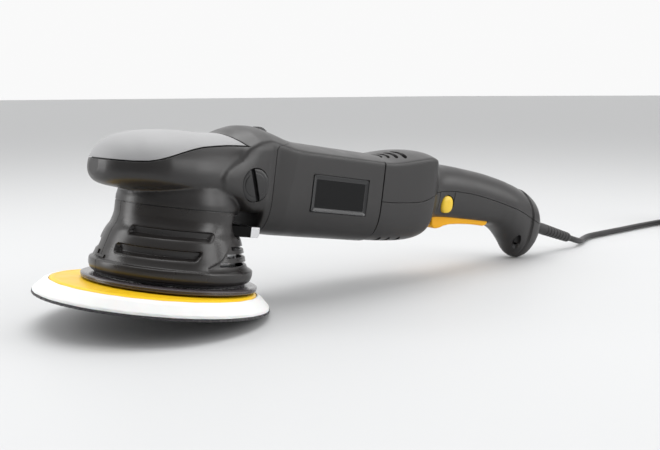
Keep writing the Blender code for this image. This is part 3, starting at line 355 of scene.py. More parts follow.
def piece(name, mesh, body, slot, *nodes, look=None, angle=32, smooth=True, place=None):
    """A finished visible piece: placed in the rest frame, riding its body, standing for its CAD nodes."""
    if smooth:
        for face in mesh.polygons:
            face.use_smooth = True
        mesh.set_sharp_from_angle(angle=radians(angle))
    mesh.materials.clear()
    mesh.materials.append(LOOKS[look or slot])
    mesh.transform(place or REST)
    obj = linked(name, mesh)
    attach(obj, body)
    if nodes:
        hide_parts(*nodes)
    return obj


def skin_of(node, mesh, **options):
    """The detailed skin of one CAD node, with that node's body and slot."""
    return piece(node + "_skin", mesh, BODY_OF[node], SLOT_OF[node], node, **options)


def slopes(xs, ys):
    """Slopes for a smooth curve that never overshoots its points."""
    xs, ys = np.asarray(xs, float), np.asarray(ys, float)
    gap, rise = np.diff(xs), np.diff(ys) / np.diff(xs)
    out = np.zeros(len(xs))
    for i in range(1, len(xs) - 1):
        if rise[i - 1] * rise[i] > 0:
            w1, w2 = 2 * gap[i] + gap[i - 1], gap[i] + 2 * gap[i - 1]
            out[i] = (w1 + w2) / (w1 / rise[i - 1] + w2 / rise[i])
    out[0], out[-1] = rise[0], rise[-1]
    return out


def follow(xs, ys, at):
    """Smooth curve through the points, read at the given places."""
    xs, ys, at = (np.asarray(v, float) for v in (xs, ys, at))
    m = slopes(xs, ys)
    i = np.clip(np.searchsorted(xs, at) - 1, 0, len(xs) - 2)
    h = xs[i + 1] - xs[i]
    t = np.clip((at - xs[i]) / h, 0, 1)
    return ((1 + 2 * t) * (1 - t) ** 2 * ys[i] + t * (1 - t) ** 2 * h * m[i]
            + t * t * (3 - 2 * t) * ys[i + 1] + t * t * (t - 1) * h * m[i + 1])


def step(value, low, high):
    t = np.clip((np.asarray(value, float) - low) / (high - low), 0, 1)
    return t * t * (3 - 2 * t)


def solid_box(low, high):
    low, high = Vector(low) * MM, Vector(high) * MM
    size = Matrix.Diagonal((*(high - low), 1))
    mesh = bpy.data.meshes.new("box")
    with editing(mesh) as work:
        bmesh.ops.create_cube(work, size=1, matrix=Matrix.Translation((low + high) / 2) @ size)
    return mesh


def solid_rod(centre, axis, low, high, radius, count=48):
    """Cylinder along an axis, from low to high as measured from a centre."""
    stand = Vector(axis).to_track_quat("Z", "Y").to_matrix().to_4x4()
    place = Matrix.Translation(Vector(centre) * MM) @ stand @ Matrix.Translation((0, 0, (low + high) / 2 * MM))
    mesh = bpy.data.meshes.new("rod")
    with editing(mesh) as work:
        bmesh.ops.create_cone(work, cap_ends=True, segments=count, radius1=radius * MM, radius2=radius * MM,
                              depth=(high - low) * MM, matrix=place)
    return mesh


def prism(outline, low, high, flat="xz"):
    """Outline pulled between two planes: x and z pairs along y, or x and y pairs along z."""
    count = len(outline)
    points = [(u, d, v) if flat == "xz" else (u, v, d) for d in (low, high) for u, v in outline]
    faces = [ring(0, count), ring(count, count)[::-1]] + tube(2, count)
    return tidy_normals(mesh_of("prism", points, faces))


def revolve(profile, count=128, centre=(0, 0, 0), axis="z", wobble=None):
    """Closed shape turned about z or x, from radius and height pairs."""
    points, faces = [], []
    rows = len(profile)
    for i in range(count):
        a = 2 * pi * i / count
        for r, h in profile:
            if wobble:
                r, h = wobble(a, r, h)
            x, y = r * cos(a), r * sin(a)
            spot = (x, y, h) if axis == "z" else (h, x, y)
            points.append([c + shift for c, shift in zip(spot, centre)])
    closed = not (profile[0][0] == 0 and profile[-1][0] == 0)
    for i in range(count):
        k = (i + 1) % count
        for j in range(rows if closed else rows - 1):
            n = (j + 1) % rows
            faces.append((i * rows + j, i * rows + n, k * rows + n, k * rows + j))
    mesh = mesh_of("turned", points, faces)
    with editing(mesh) as work:
        bmesh.ops.remove_doubles(work, verts=work.verts, dist=1e-7)
        bmesh.ops.dissolve_degenerate(work, dist=1e-8, edges=work.edges)
        bmesh.ops.recalc_face_normals(work, faces=work.faces)
    return mesh


def moved(mesh, place, *turns):
    """Mesh turned, the last turn first, and then moved to a place."""
    matrix = Matrix.Translation([c * MM for c in place])
    for angle, axis in turns:
        matrix = matrix @ Matrix.Rotation(angle, 4, axis)
    mesh.transform(matrix)
    return mesh


def cad_copy(node):
    """Mesh of a CAD node, in the tool frame."""
    mesh = frame["nodes"][node].data.copy()
    mesh.transform(TO_TOOL)
    return mesh


def rounded(profile, radius, steps=4, closed=True):
    """Profile with each corner rounded, except points on the axis."""
    out = []
    count = len(profile)
    for i, point in enumerate(profile):
        p = Vector(point[:2])
        r = point[2] if len(point) > 2 else radius
        if (not closed and i in (0, count - 1)) or p.x == 0 or r == 0:
            out.append((p.x, p.y))
            continue
        a, b = Vector(profile[i - 1][:2]), Vector(profile[(i + 1) % count][:2])
        da, db = a - p, b - p
        half = da.angle(db) / 2 if da.length > 1e-6 and db.length > 1e-6 else pi / 2
        back = min(r / tan(half), da.length * 0.45, db.length * 0.45) if half < 1.55 else 0
        if back < 1e-3:
            out.append((p.x, p.y))
            continue
        s, e = p + da.normalized() * back, p + db.normalized() * back
        for k in range(steps + 1):
            t = k / steps
            q = s.lerp(p, t).lerp(p.lerp(e, t), t)
            out.append((q.x, q.y))
    return out


# ---- body sections
# x, half width, top, bottom, height of the widest line, squareness above and below, share of the roofed box,
# ridge height
BODY = [
    (-60.4, 7, 88, 77, 82.5, 2, 2, 0, 100),
    (-58, 14.8, 93.4, 73.6, 82.5, 2.1, 2.1, 0, 100),
    (-54, 21.8, 98.2, 71.7, 82.5, 2.2, 2.2, 0, 100),
    (-47, 28.6, 102.8, 70.6, 82.5, 2.2, 2.3, 0, 100),
    (-38, 34, 106, 70, 82.5, 2.3, 2.4, 0, 100),
    (-26, 37.4, 108.4, 69.7, 82, 2.3, 2.6, 0, 100),
    (-8, 38, 110.3, 69.6, 81, 2.4, 2.8, 0, 100),
    (12, 36.9, 111, 69.4, 81, 2.4, 2.8, 0, 102),
    (21, 36.2, 112.2, 68.2, 80.5, 2.4, 3, 0.10, 104),
    (30, 35, 116.4, 64.6, 80.5, 2.4, 4, 0.45, 106.5),
    (38, 34, 119.2, 62.4, 80.5, 2.5, 5, 0.75, 109.5),
    (45.8, 33.3, 119.8, 61.8, 80.5, 2.5, 5, 0.95, 110.5),
    (47.4, 33.1, 119.6, 50.6, 80.5, 2.6, 3.2, 1, 110.4),
    (51, 33.2, 119, 48.4, 80.5, 2.8, 3.1, 1, 109.8),
    (60, 33.2, 117, 47.6, 80.5, 3, 3.2, 1, 108.2),
    (69, 33.1, 114.6, 47.4, 80.5, 3.2, 3.3, 1, 107),
    (80, 33, 113.1, 47.4, 80.5, 3.3, 3.2, 1, 106.8),
    (112, 33, 112.9, 47.5, 80.5, 3.3, 3.2, 1, 106.8),
    (145, 33, 112.8, 47.6, 80.5, 3.3, 3.2, 1, 106.8),
]
REAR = [
    (145, 32.2, 111.8, 48.5, 80.5, 3.2, 3.2, 1, 106.6),
    (153, 32.1, 112.6, 48.4, 80.6, 3.1, 3.2, 1, 107),
    (160, 31.9, 114.2, 48.5, 80.8, 3, 3.2, 1, 107.9),
    (172, 31.6, 117.2, 48.9, 81.5, 2.9, 3.1, 1, 110.2),
    (184, 31.2, 119.2, 49.8, 82.5, 2.8, 3, 1, 112.8),
    (195, 30.3, 120, 51.8, 84, 2.8, 3, 1, 114.8),
    (201.5, 29, 119.8, 55, 86, 2.7, 3.2, 0.9, 114.4),
    (205, 26.4, 119, 58.8, 87.2, 2.6, 2.9, 0.6, 111),
    (209, 23, 117, 63.8, 88.6, 2.5, 2.8, 0.2, 106),
    (215, 20.3, 114.5, 67.6, 90.4, 2.4, 2.8, 0, 104),
    (225, 19, 112.5, 69, 91.7, 2.4, 3, 0, 104),
    (240, 18.6, 112.1, 69.2, 91.9, 2.4, 3, 0, 104),
    (256, 18.5, 111.3, 69.1, 91.4, 2.4, 3, 0, 104),
    (276, 18.6, 109.9, 68.9, 89.1, 2.4, 2.9, 0, 104),
    (292, 19, 107.8, 67.8, 86.6, 2.4, 2.5, 0, 104),
    (300, 19.2, 106.6, 65.4, 85, 2.4, 2.3, 0, 104),
    (307, 19.2, 105.2, 62, 83.4, 2.4, 2.1, 0, 104),
    (317, 18.5, 103, 53.4, 81.4, 2.4, 2, 0, 104),
    (326, 17.7, 100.3, 43.9, 78.6, 2.4, 2.05, 0, 104),
    (331, 17.2, 98.5, 42.2, 76.8, 2.4, 2.1, 0, 104),
    (335, 16.8, 96.7, 41.85, 75.2, 2.4, 2.1, 0, 104),
    (340, 16, 93.9, 43.1, 73.2, 2.4, 2.1, 0, 104),
    (345.5, 14.4, 89.6, 47.9, 71.4, 2.4, 2.1, 0, 104),
    (350, 12, 84, 55.4, 70.6, 2.3, 2.1, 0, 104),
    (352.6, 8.6, 78.8, 62, 70.4, 2.2, 2.2, 0, 104),
    (353.6, 6, 75.6, 65.2, 70.4, 2.2, 2.2, 0, 104),
]
PAD_LINE = [(-70, 87.2), (-56, 87.5), (-48, 87.9), (-40, 88.9), (-34, 90.6), (-27, 93.2), (-20, 95.9),
            (-12, 98.8), (-4, 101.1), (7, 103), (16, 104.3), (23, 105), (29, 105.5), (36, 105.9), (36, 113)]
PART_LINE = [(130, 78.6), (150, 78.6), (165, 79.2), (186, 81.4), (195, 84.2), (203, 87.8), (218, 90.8), (228, 91.9),
             (240, 92.2), (258, 91.3), (276, 89.1), (295, 86), (315, 82), (327, 78.4), (338, 74.6), (348, 72.8),
             (380, 72.4)]
SEAM_1 = [(51, 30), (51, 105.5), (52.5, 108), (66, 111.5), (66, 140)]
SHROUD_SEAM = 62
FACET_DEPTH = 0.085   # how fast the housing's front falls away, in mm per mm
PAD_THICK = 3.4
HEAD_WALL, BARREL_WALL, HANDLE_WALL = 6.2, 2.9, 2.7
HEAD_FROM, HEAD_TO = -60.4, 71
BARREL_FROM, BARREL_TO = 50, 144.6
REAR_FROM, REAR_TO = 146.3, 353.6


def body_to(x):
    """The body's table with its last section repeated further back."""
    return BODY + [(x,) + BODY[-1][1:]]


def rod_z(radius, low, high, count=48, at=(0, 0)):
    """Upright cylinder."""
    return solid_rod((*at, 0), UPRIGHT, low, high, radius, count)


def section_ring(values, inset, turns):
    """Points of one body section about its middle: a superellipse that can turn into a roofed box."""
    half, top, bottom, middle, sq_top, sq_low, boxed, ridge = values
    half, top, bottom, ridge = half - inset, top - inset, bottom + inset, ridge - inset
    co, si = np.abs(np.cos(turns)), np.abs(np.sin(turns))
    above = np.sin(turns) >= 0
    power = np.where(above, sq_top, sq_low)
    reach = np.where(above, top - middle, middle - bottom)
    radius = ((co / half) ** power + (si / reach) ** power) ** (-1 / power)
    if boxed > 0:
        fall = max(top - ridge, 0.05) / half ** 2
        lift = top - middle
        side = half / np.maximum(co, 1e-6)
        a = fall * co ** 2
        sloped = (-si + np.sqrt(si ** 2 + 4 * a * lift)) / np.maximum(2 * a, 1e-9)
        roof = np.where(a < 1e-9, lift / np.maximum(si, 1e-6), sloped)
        sharp = 46
        box = (side ** -sharp + roof ** -sharp) ** (-1 / sharp)
        radius = np.where(above, radius * (1 - boxed) + box * boxed, radius)
    return radius * np.cos(turns), middle + radius * np.sin(turns)


def ring_turns(count):
    """Angles round a section, closer together where the upper ridges are."""
    base = np.linspace(0, 2 * pi, 721)
    near = sum(np.exp(-((base - ridge) / 0.10) ** 2) for ridge in (0.70, pi - 0.70))
    weight = 1 + 3 * near
    total = np.concatenate(([0], np.cumsum((weight[1:] + weight[:-1]) / 2)))
    return np.interp(np.arange(count) / count, total / total[-1], base)


def skin(table, low, high, spacing=1.2, count=168, inset=0, shape=None, extra=()):
    """Closed dense skin over body sections from low to high, shaped by an optional function of the points."""
    columns = np.array(table, float)
    xs = columns[:, 0]
    inner = np.linspace(low, high, max(3, int((high - low) / spacing) + 1))
    stations = np.unique(np.round(np.concatenate((inner, [x for x in extra if low < x < high])), 4))
    values = [follow(xs, columns[:, k], stations) for k in range(1, columns.shape[1])]
    turns = ring_turns(count)
    points = np.zeros((len(stations), count, 3))
    for i, x in enumerate(stations):
        y, z = section_ring([v[i] for v in values], inset, turns)
        points[i, :, 0], points[i, :, 1], points[i, :, 2] = x, y, z
    if shape:
        points = shape(points)
    faces = tube(len(stations), count) + [ring(0, count)[::-1], ring((len(stations) - 1) * count, count)]
    return tidy_normals(mesh_of("skin", points.reshape(-1, 3), faces))


def facet(points):
    """The front of the motor housing falls away from a slanted crease towards the head."""
    x, y, z = points[..., 0], points[..., 1], points[..., 2]
    crease = 61 + 7 * np.clip((z - 50) / 57, 0, 1)
    drop = FACET_DEPTH * np.clip(crease - x, 0, 14) * step(x, 30, 50)
    points[..., 1] = y - np.sign(y) * drop * step(np.abs(y), 20, 30)
    return points


def remeshed(mesh, voxel, passes):
    """Joined solids turned into one even skin whose inner corners are softly filled."""
    obj = linked("tool", mesh)
    mod = obj.modifiers.new("remesh", "REMESH")
    mod.mode = "VOXEL"
    mod.voxel_size = voxel * MM
    mod = obj.modifiers.new("soften", "SMOOTH")
    mod.factor = 0.5
    mod.iterations = passes
    return baked(obj)


# ---- head cover and palm pad share one skin
def boss_swell(points):
    """Low shoulder round the brush cap, and the motor housing's facet."""
    points = facet(points)
    x, y, z = points[..., 0], points[..., 1], points[..., 2]
    edge = np.interp(z, [60, 70, 78, 83, 88, 92, 96, 102, 108], [16, 12.5, 9.5, 8.2, 11, 16, 22, 26, 31])
    swell = 1 * step(x, edge - 1.2, edge + 2.4) * step(z, 69, 73) * (1 - step(z, 104, 110)) * (1 - step(x, 44, 50))
    points[..., 1] = y + np.sign(y) * swell * step(np.abs(y), 14, 28)
    return points


head_skin = skin(BODY, HEAD_FROM, HEAD_TO, 1, 152, shape=boss_swell, extra=(45.8, 47.4))
neck = revolve([(0, 76), (37.2, 76), (37.9, 72.5), (38.9, 69), (39.7, 65.5), (39.8, 62.3), (39.8, 58), (0, 58)], 144)
head_body = remeshed(boolean(head_skin, [neck], "UNION"), voxel=0.75, passes=5)
below_seam = solid_box((-80, -60, 30), (45.9, 60, SHROUD_SEAM + 0.7))
tail = prism([(x - 0.12, z) for x, z in SEAM_1] + [(90, 140), (90, 30)], -60, 60)
head_body = boolean(head_body, [below_seam, tail])


def pad_plan(shift):
    """The pad's rear edge in plan: it wraps the front of the hump."""
    ys = np.linspace(-46, 46, 47)
    rear = [(19.5 + 10.5 * min(abs(y) / 33, 1.15) ** 2.2 + shift, float(y)) for y in ys]
    return prism([(-75, -60), (rear[0][0], -60)] + rear + [(rear[-1][0], 60), (-75, 60)], 60, 140, "xy")


pad_side = prism([(-75, 135)] + PAD_LINE[:-1] + [(36, 135)], -60, 60)
palm = boolean(boolean(head_body.copy(), [pad_side], "INTERSECT"), [pad_plan(0)], "INTERSECT")
palm = boolean(palm, [skin(BODY, -57, 40, 2, 96, inset=PAD_THICK)])
palm_pad = skin_of("palm_pad", palm, angle=40)

# the cover's step under the pad is a little larger than the pad
lip = prism([(-75, 135)] + [(x, z - 0.8) for x, z in PAD_LINE[:-1]] + [(37, 105.1), (37, 135)], -60, 60)
lip = boolean(boolean(lip, [pad_plan(0.8)], "INTERSECT"), [skin(BODY, -56, 44, 2, 96, inset=3.9)])
cover = boolean(head_body, [lip])
hollow = [skin(BODY, -52.5, HEAD_TO + 4, 2, 96, inset=HEAD_WALL), rod_z(37.2, 50, 67.5, 96), rod_z(29.2, 60, 95, 72)]
cover = boolean(cover, [*hollow, solid_rod((0, 0, MOTOR_Z), (1, 0, 0), 20, 43, 13.8, 48)])
DIAL = (54.5, 112.2)
BRUSH_X = 35.3
slot_line = [(-9.2, 100), (-9, 119.6), (-7.6, 130), (7.6, 130), (9, 118.6), (9.2, 100)]
slot_cut = prism([(DIAL[0] + x, z) for x, z in slot_line], -4.4, 4.4)
brush_holes = [solid_rod((BRUSH_X, 0, MOTOR_Z), (0, side, 0), 20, 50, 11.2, 64) for side, _ in SIDES]
cover = boolean(cover, [slot_cut, *brush_holes])
skin_of("head_cover", cover)

# ---- motor housing
barrel = skin(BODY, BARREL_FROM, BARREL_TO, 1.5, 168, shape=facet, extra=(52, 54, 56, *range(58, 70)))
barrel = boolean(barrel, [skin(body_to(150), 43, 149, 3, 96, inset=BARREL_WALL),
                          prism([(x + 0.2, z) for x, z in SEAM_1] + [(20, 140), (20, 30)], -60, 60)])
PLATE_X, PLATE_Z = (82.4, 131.4), (67.2, 92.4)
plate_recess = [solid_box((PLATE_X[0] - 0.4, side * 34 - 2.3, PLATE_Z[0] - 0.4),
                          (PLATE_X[1] + 0.4, side * 34 + 2.3, PLATE_Z[1] + 0.4)) for side, _ in SIDES]
skin_of("motor_housing", boolean(barrel, plate_recess))


def name_plate(side):
    """Raised black plate with a wide bevelled frame, and nothing printed on it."""
    x0, x1, z0, z1 = *PLATE_X, *PLATE_Z
    loops = [(0, 31.9), (0, 33), (0.35, 33.35), (2.6, 32.75), (2.9, 32.75)]
    points = []
    quarter = 5
    for inset, y in loops:
        corner = max(1.6 - inset * 0.4, 0.4)
        back = inset + corner
        for cx, cz, start in ((x1 - back, z1 - back, 0), (x0 + back, z1 - back, 90),
                              (x0 + back, z0 + back, 180), (x1 - back, z0 + back, 270)):
            for k in range(quarter + 1):
                a = radians(start + 90 * k / quarter)
                points.append((cx + corner * cos(a), side * y, cz + corner * sin(a)))
    count = 4 * (quarter + 1)
    faces = tube(len(loops), count) + [ring(0, count), ring(len(points) - count, count)]
    return tidy_normals(mesh_of("name_plate", points, faces))


for side, hand in SIDES:
    plate_obj = skin_of("name_plate_" + hand, name_plate(side), angle=20)
    plate_obj.data.materials.append(LOOKS["plate_frame"])
    for face in plate_obj.data.polygons[:-2]:
        face.material_index = 1

# ---- rear clam shells
PART_X, PART_Z = zip(*PART_LINE)
CAP_X = 333.5


def end_cap(points):
    """The moulded cap at the end of the handle stands a little proud of the grip."""
    x, y, z = points[..., 0], points[..., 1], points[..., 2]
    line = CAP_X - 8.5 * step(z, 78, 103) - 2.5 * (1 - step(z, 44, 60))
    grow = 1 * step(x, line, line + 0.9) * (1 - step(x, 341, 351))
    grow = grow - 0.5 * step(x, line - 2.4, line - 0.9) * (1 - step(x, line - 0.5, line))
    centre = np.interp(x, [322, 337, 353], [73, 70, 70.4])
    length = np.sqrt(y ** 2 + (z - centre) ** 2) + 1e-6
    up_only = np.where(z > centre - 14, 1, 0)
    points[..., 1] = y + grow * y / length
    points[..., 2] = z + grow * up_only * (z - centre) / length
    return points


near_cap = [CAP_X - 13 + 0.5 * k for k in range(34)] + [352.6, 353.2]
grip = skin(REAR, REAR_FROM, REAR_TO, 1.2, 152, shape=end_cap, extra=near_cap)
grip = boolean(grip, [skin([(138,) + REAR[0][1:]] + REAR, 139, 351, 3, 88, inset=HANDLE_WALL)])
line_x = np.linspace(130, 380, 101)
line_z = follow(PART_X, PART_Z, line_x)
shells = {}
for name, side, far in (("upper", 0.22, 150), ("lower", -0.22, 20)):
    outline = [(float(x), float(z) + side) for x, z in zip(line_x, line_z)] + [(380, far), (130, far)]
    shells[name] = boolean(grip.copy(), [prism(outline, -60, 60)], "INTERSECT")


def crescent(x, y_low, y_high, bow, wide, low, high):
    """Curved slot cutter, seen from above."""
    outer, inner = [], []
    for k in range(17):
        t = -1 + 2 * k / 16
        y = (y_low + y_high) / 2 + t * (y_high - y_low) / 2
        centre = x + bow * (1 - t * t)
        thick = wide * max(1 - t ** 4, 0) ** 0.5 / 2 + 0.05
        outer.append((centre + thick, y))
        inner.append((centre - thick, y))
    return prism(outer + inner[::-1], low, high, "xy")


def vents(slots, low, high):
    """A crescent and its mirror image for each x, inner and outer y, bow and width."""
    return [crescent(x, *sorted((side * near, side * far)), bow, wide, low, high)
            for x, near, far, bow, wide in slots for side, _ in SIDES]


upper_slots = [(x, 7, 19.5 + 2.2 * k, 2.8, 2.4 + 0.6 * k) for k, x in enumerate((151.8, 157, 163.2, 170))]
lower_slots = [(x, 11, 23, 1.6, 3.2) for x in (156.5, 165.5, 175.5)]
vented = boolean(shells["upper"], vents(upper_slots, 98, 130))
lower = boolean(shells["lower"], vents(lower_slots, 36, 60))
RELIEF_BASE = Vector((354.432, 0, 70.374))
RELIEF_LEN = 53
RELIEF_DROP = radians(8.5)
RELIEF_DIR = Vector((cos(RELIEF_DROP), 0, -sin(RELIEF_DROP)))
BUTTON = (226.5, 81.5)
PIVOT = (279, 75.5)
SCREW_AT = (322, 11.4)
sleeve_cut = solid_rod(RELIEF_BASE, RELIEF_DIR, -12, 12, 5.5, 48)
upper_shell = boolean(vented, [sleeve_cut])
# dark liner filling the gap between the motor housing and the grip: painted shade in the seam
liner_core = skin(body_to(152), 139, 151, 3, 120, inset=2.6)
liner = boolean(skin(body_to(149), 142.5, 148, 1.5, 120, inset=1.3), [liner_core])
piece("housing_seam_shade_liner", liner, "tool_body", "black_plastic", look="painted_shade_black")
skin_of("handle_upper", upper_shell)

bosses = []
for side, _ in SIDES:                                 # seats of the trigger's pin
    ends = sorted((12.3 * side, 13.6 * side))
    bosses.append(solid_box((275.4, ends[0], 73), (282.6, ends[1], 79.2)))
for side, _ in SIDES:                                 # screw posts
    post = rod_z(4.8, 55, 74, 40, (SCREW_AT[0], side * SCREW_AT[1]))
    bosses.append(boolean(post, [skin(REAR, 292, 350, 2, 88, inset=1)], "INTERSECT"))
lower = boolean(lower, bosses, "UNION")
trigger_hole = prism([(216.4, 50), (216.4, 79.8), (284.6, 79.8), (284.6, 50)], -11.8, 11.8)
wells = []
for side, _ in SIDES:
    at = (SCREW_AT[0], side * SCREW_AT[1])
    wells += [rod_z(3.5, 40, 66, 40, at), rod_z(2.1, 60, 90, 24, at)]
pin_hole = solid_rod((PIVOT[0], 0, PIVOT[1]), (0, 1, 0), -13.9, 13.9, 2.1, 24)
button_hole = solid_rod((BUTTON[0], 0, BUTTON[1]), (0, -1, 0), 9.5, 40, 7.35, 56)
lower = boolean(lower, [sleeve_cut.copy(), trigger_hole, *wells, pin_hole, button_hole])
# fine moulded frame round the lock button
frame_lines = [solid_box((x - 0.25, -30, z0), (x + 0.25, -18, z1))
               for x, z0, z1 in ((215.9, 73.5, 90.3), (233.4, 74.5, 91.6))]
skin_of("handle_lower", boolean(lower, frame_lines))

# ---- shroud halves: pockets, raised panel and louvres
SHROUD = [(17.5, 50.6), (18.6, 51.5), (20.4, 52.3), (22.8, 52.6), (24.6, 52.5), (25.4, 51.9), (25.8, 50.7),
          (26.6, 50.2),
          (34, 47.7), (44.6, 44), (49, 41.4), (52.6, 40.3), (56, 39.8), (62, 39.8)]
POCKETS = [((42.9, 49.3), 158.5, (88, 83), 39.9), ((30.7, 37.6), 166, (100.5, 95.5), 44.3)]
LOUVRES = [((38.7, 41), 65), ((33.7, 36.4), 72), ((28.6, 31.2), 81)]
PANEL = [(27.8, 92.4), (32.8, 79.8), (38.2, 72.4), (45.3, 63.8), (52, 58), (62, 54)]
REAR_OPEN = (53, 46.2)
SHROUD_WALL = 2


def shroud_radius(phi, z):
    """Outer radius at an angle from the rear seam, in degrees, and a height."""
    zs, rs = zip(*SHROUD)
    base = follow(zs, rs, z)
    edge = np.interp(z, *zip(*PANEL))
    fallen = 1.3 * (1 - step(phi, edge - 1.6, edge + 0.4)) * step(z, 25.6, 27.6) * (1 - step(z, 58, 61))
    radius = base - fallen
    for (low, high), far, (near_low, near_high), floor in POCKETS:
        near = near_low + (near_high - near_low) * (z - low) / (high - low)
        half = (far - near) / 2 * pi / 180 * base
        u = (phi - (far + near) / 2) * pi / 180 * base
        v = z - (low + high) / 2
        corner = 2.2      # radius of the pocket's corners
        du = np.maximum(np.abs(u) - (half - corner), 0)
        dv = np.maximum(np.abs(v) - ((high - low) / 2 - corner), 0)
        inside = corner - np.sqrt(du ** 2 + dv ** 2)
        mask = step(inside, 0, np.where(v < 0, 2.3, 0.8))
        target = np.minimum(floor + 0.05 * (v + 3), base - 0.5)
        radius = radius - mask * np.maximum(base - target, 0)
    return radius


def fine_lines(low, high, coarse, fine, zones, marks):
    """Grid lines: coarse spacing, finer in the zones, and always one on each mark."""
    out = [low]
    while out[-1] < high:
        at = out[-1]
        inside = any(a <= at <= b for a, b in zones)
        out.append(at + (fine if inside else coarse))
    out = np.array(out[:-1] + [high])
    for mark in marks:
        if low < mark < high:
            out = np.append(out[np.abs(out - mark) > (fine * 0.6)], mark)
    return np.unique(np.round(out, 4))


def shroud_half(side):
    """Thin shell of one hand, with its louvres and the rear opening left out."""
    seam = 0.28
    vent_from = 8
    zs = fine_lines(17.5, SHROUD_SEAM, 0.8, 0.4, [(42.6, 49.6), (30.6, 38), (24.4, 27), (17.5, 19.5)],
                    [REAR_OPEN[1], *[v for span, _ in LOUVRES for v in span]])
    phis = fine_lines(seam, 180 - seam, 1, 0.7, [(60, 100), (150, 170)],
                      [vent_from, REAR_OPEN[0], *[end for _, end in LOUVRES]])
    P, Z = np.meshgrid(phis, zs, indexing="ij")
    A = np.radians(P)
    outer = shroud_radius(P, Z)
    sheets = [np.stack((radius * np.cos(A), side * radius * np.sin(A), Z), -1)
              for radius in (outer, outer - SHROUD_WALL)]
    ni, nj = P.shape
    MP, MZ = np.meshgrid((phis[1:] + phis[:-1]) / 2, (zs[1:] + zs[:-1]) / 2, indexing="ij")
    present = ~((MP < REAR_OPEN[0]) & (MZ > REAR_OPEN[1]))
    for (low, high), end in LOUVRES:
        present &= ~((MP > vent_from) & (MP < end) & (MZ > low) & (MZ < high))

    def number(sheet, i, j):
        return sheet * ni * nj + i * nj + j

    faces = []
    for i, j in zip(*np.nonzero(present)):
        a, b, c, d = (i, j), (i + 1, j), (i + 1, j + 1), (i, j + 1)
        faces.append([number(0, *p) for p in (a, b, c, d)])
        faces.append([number(1, *p) for p in (d, c, b, a)])
        for p, q, u, v in ((a, b, i, j - 1), (b, c, i + 1, j), (c, d, i, j + 1), (d, a, i - 1, j)):
            if not (0 <= u < ni - 1 and 0 <= v < nj - 1) or not present[u, v]:
                faces.append([number(0, *q), number(0, *p), number(1, *p), number(1, *q)])
    mesh = mesh_of("shroud", np.concatenate([s.reshape(-1, 3) for s in sheets]), faces)
    with editing(mesh) as work:
        bmesh.ops.delete(work, geom=[v for v in work.verts if not v.link_faces], context="VERTS")
        bmesh.ops.recalc_face_normals(work, faces=work.faces)
    return mesh


for side, hand in SIDES:
    skin_of("shroud_" + hand, shroud_half(side), angle=50)

# dark ring behind the seam of head and shroud: painted shade in the gap, which hides the bright parts inside
seam_shade_ring = revolve([(37.2, 60.6), (39.1, 60.6), (39.1, 63.6), (37.2, 63.6)], 144)
piece("neck_seam_shade_ring", seam_shade_ring, "tool_body", "black_plastic")


# dark frayed ring inside the shroud's lower edge: painted shade in the gap above the balance disc, which hides the
# parts inside
def gap_fray(a, r, h):
    return r + 0.12 * sin(61 * a) * sin(23 * a), h + (0.1 * sin(83 * a) if h < 17 else 0)


gap_shade = revolve([(47.6, 15.9), (48.5, 15.9), (48.5, 21.5), (47.6, 21.5)], 288, wobble=gap_fray)
piece("shroud_gap_shade", gap_shade, "tool_body", "black_plastic", look="hook_fabric")


def latch():
    """Thin hooked latch that closes the shroud's front seam."""
    outline = [(171, 31.2), (174.5, 31.2), (174.5, 28.6), (186, 28.6), (186, 26.9), (171, 26.9)]
    edge = []
    for (a0, z0), (a1, z1) in zip(outline, outline[1:] + outline[:1]):
        parts = max(1, int(abs(a1 - a0) / 2))
        edge += [(a0 + (a1 - a0) * k / parts, z0 + (z1 - z0) * k / parts) for k in range(parts)]
    points = []
    for proud in (-0.8, 0.75):
        for a, z in edge:
            radius = float(follow(*zip(*SHROUD), [z])[0]) + proud
            points.append((radius * cos(radians(a)), radius * sin(radians(a)), z))
    count = len(edge)
    faces = [ring(0, count), ring(count, count)[::-1]] + tube(2, count)
    return tidy_normals(mesh_of("latch", points, faces))


skin_of("shroud_clip", latch(), look="shroud_plastic", smooth=False)

# ---- bearing plate: bare machined corner, and a front painted near-black as painted shade of the recess
BARE_FROM = 0.0405     # metres, in the tool frame
plate_mesh = cad_copy("bearing_plate")
with editing(plate_mesh) as work:
    bmesh.ops.bisect_plane(work, geom=work.verts[:] + work.edges[:] + work.faces[:],
                           plane_co=(BARE_FROM, 0, 0), plane_no=(1, 0, 0))
bare = skin_of("bearing_plate", plate_mesh)
# the front faces take the painted shade material, standing in for the shade of the recess
bare.data.materials.append(LOOKS["painted_shade_black"])
for face in bare.data.polygons:
    face.material_index = 0 if (TO_TOOL @ face.center).x > BARE_FROM else 1

# ---- brush caps, speed dial
def brush_cap(side):
    """Slotted cap, leaning the way the boss faces."""
    profile = [(0, 34.7), (7.4, 34.7), (7.8, 34.45), (9.3, 34.45), (10.7, 34), (10.9, 33.4), (10.9, 30.5),
               (8.6, 30.5), (8.6, 28.2), (0, 28.2)]
    cap = boolean(revolve(rounded(profile, 0.4, 3, closed=False), 96), [solid_box((-1.5, -12, 32), (1.5, 12, 37))])
    lean = radians(18)
    return moved(cap, (BRUSH_X, 0, MOTOR_Z), (lean * side, "Y"), (-side * pi / 2, "X"))


for side, hand in SIDES:
    skin_of("brush_cap_" + hand, brush_cap(side))


def knurled(a, r, h):
    return (r + (0.28 * cos(36 * a) if r > 7.6 else 0), h)


dial_line = [(0, 3.6), (5.6, 3.6), (5.9, 3.2), (7, 3.2), (7.4, 3.6), (7.9, 3.3), (7.9, -3.3), (7.4, -3.6),
             (1.6, -3.6), (1.6, -6.4), (0, -6.4)]
dial = moved(revolve(dial_line, 288, wobble=knurled), (DIAL[0], 0, DIAL[1]), (-pi / 2, "X"))
skin_of("speed_dial", dial, angle=50)

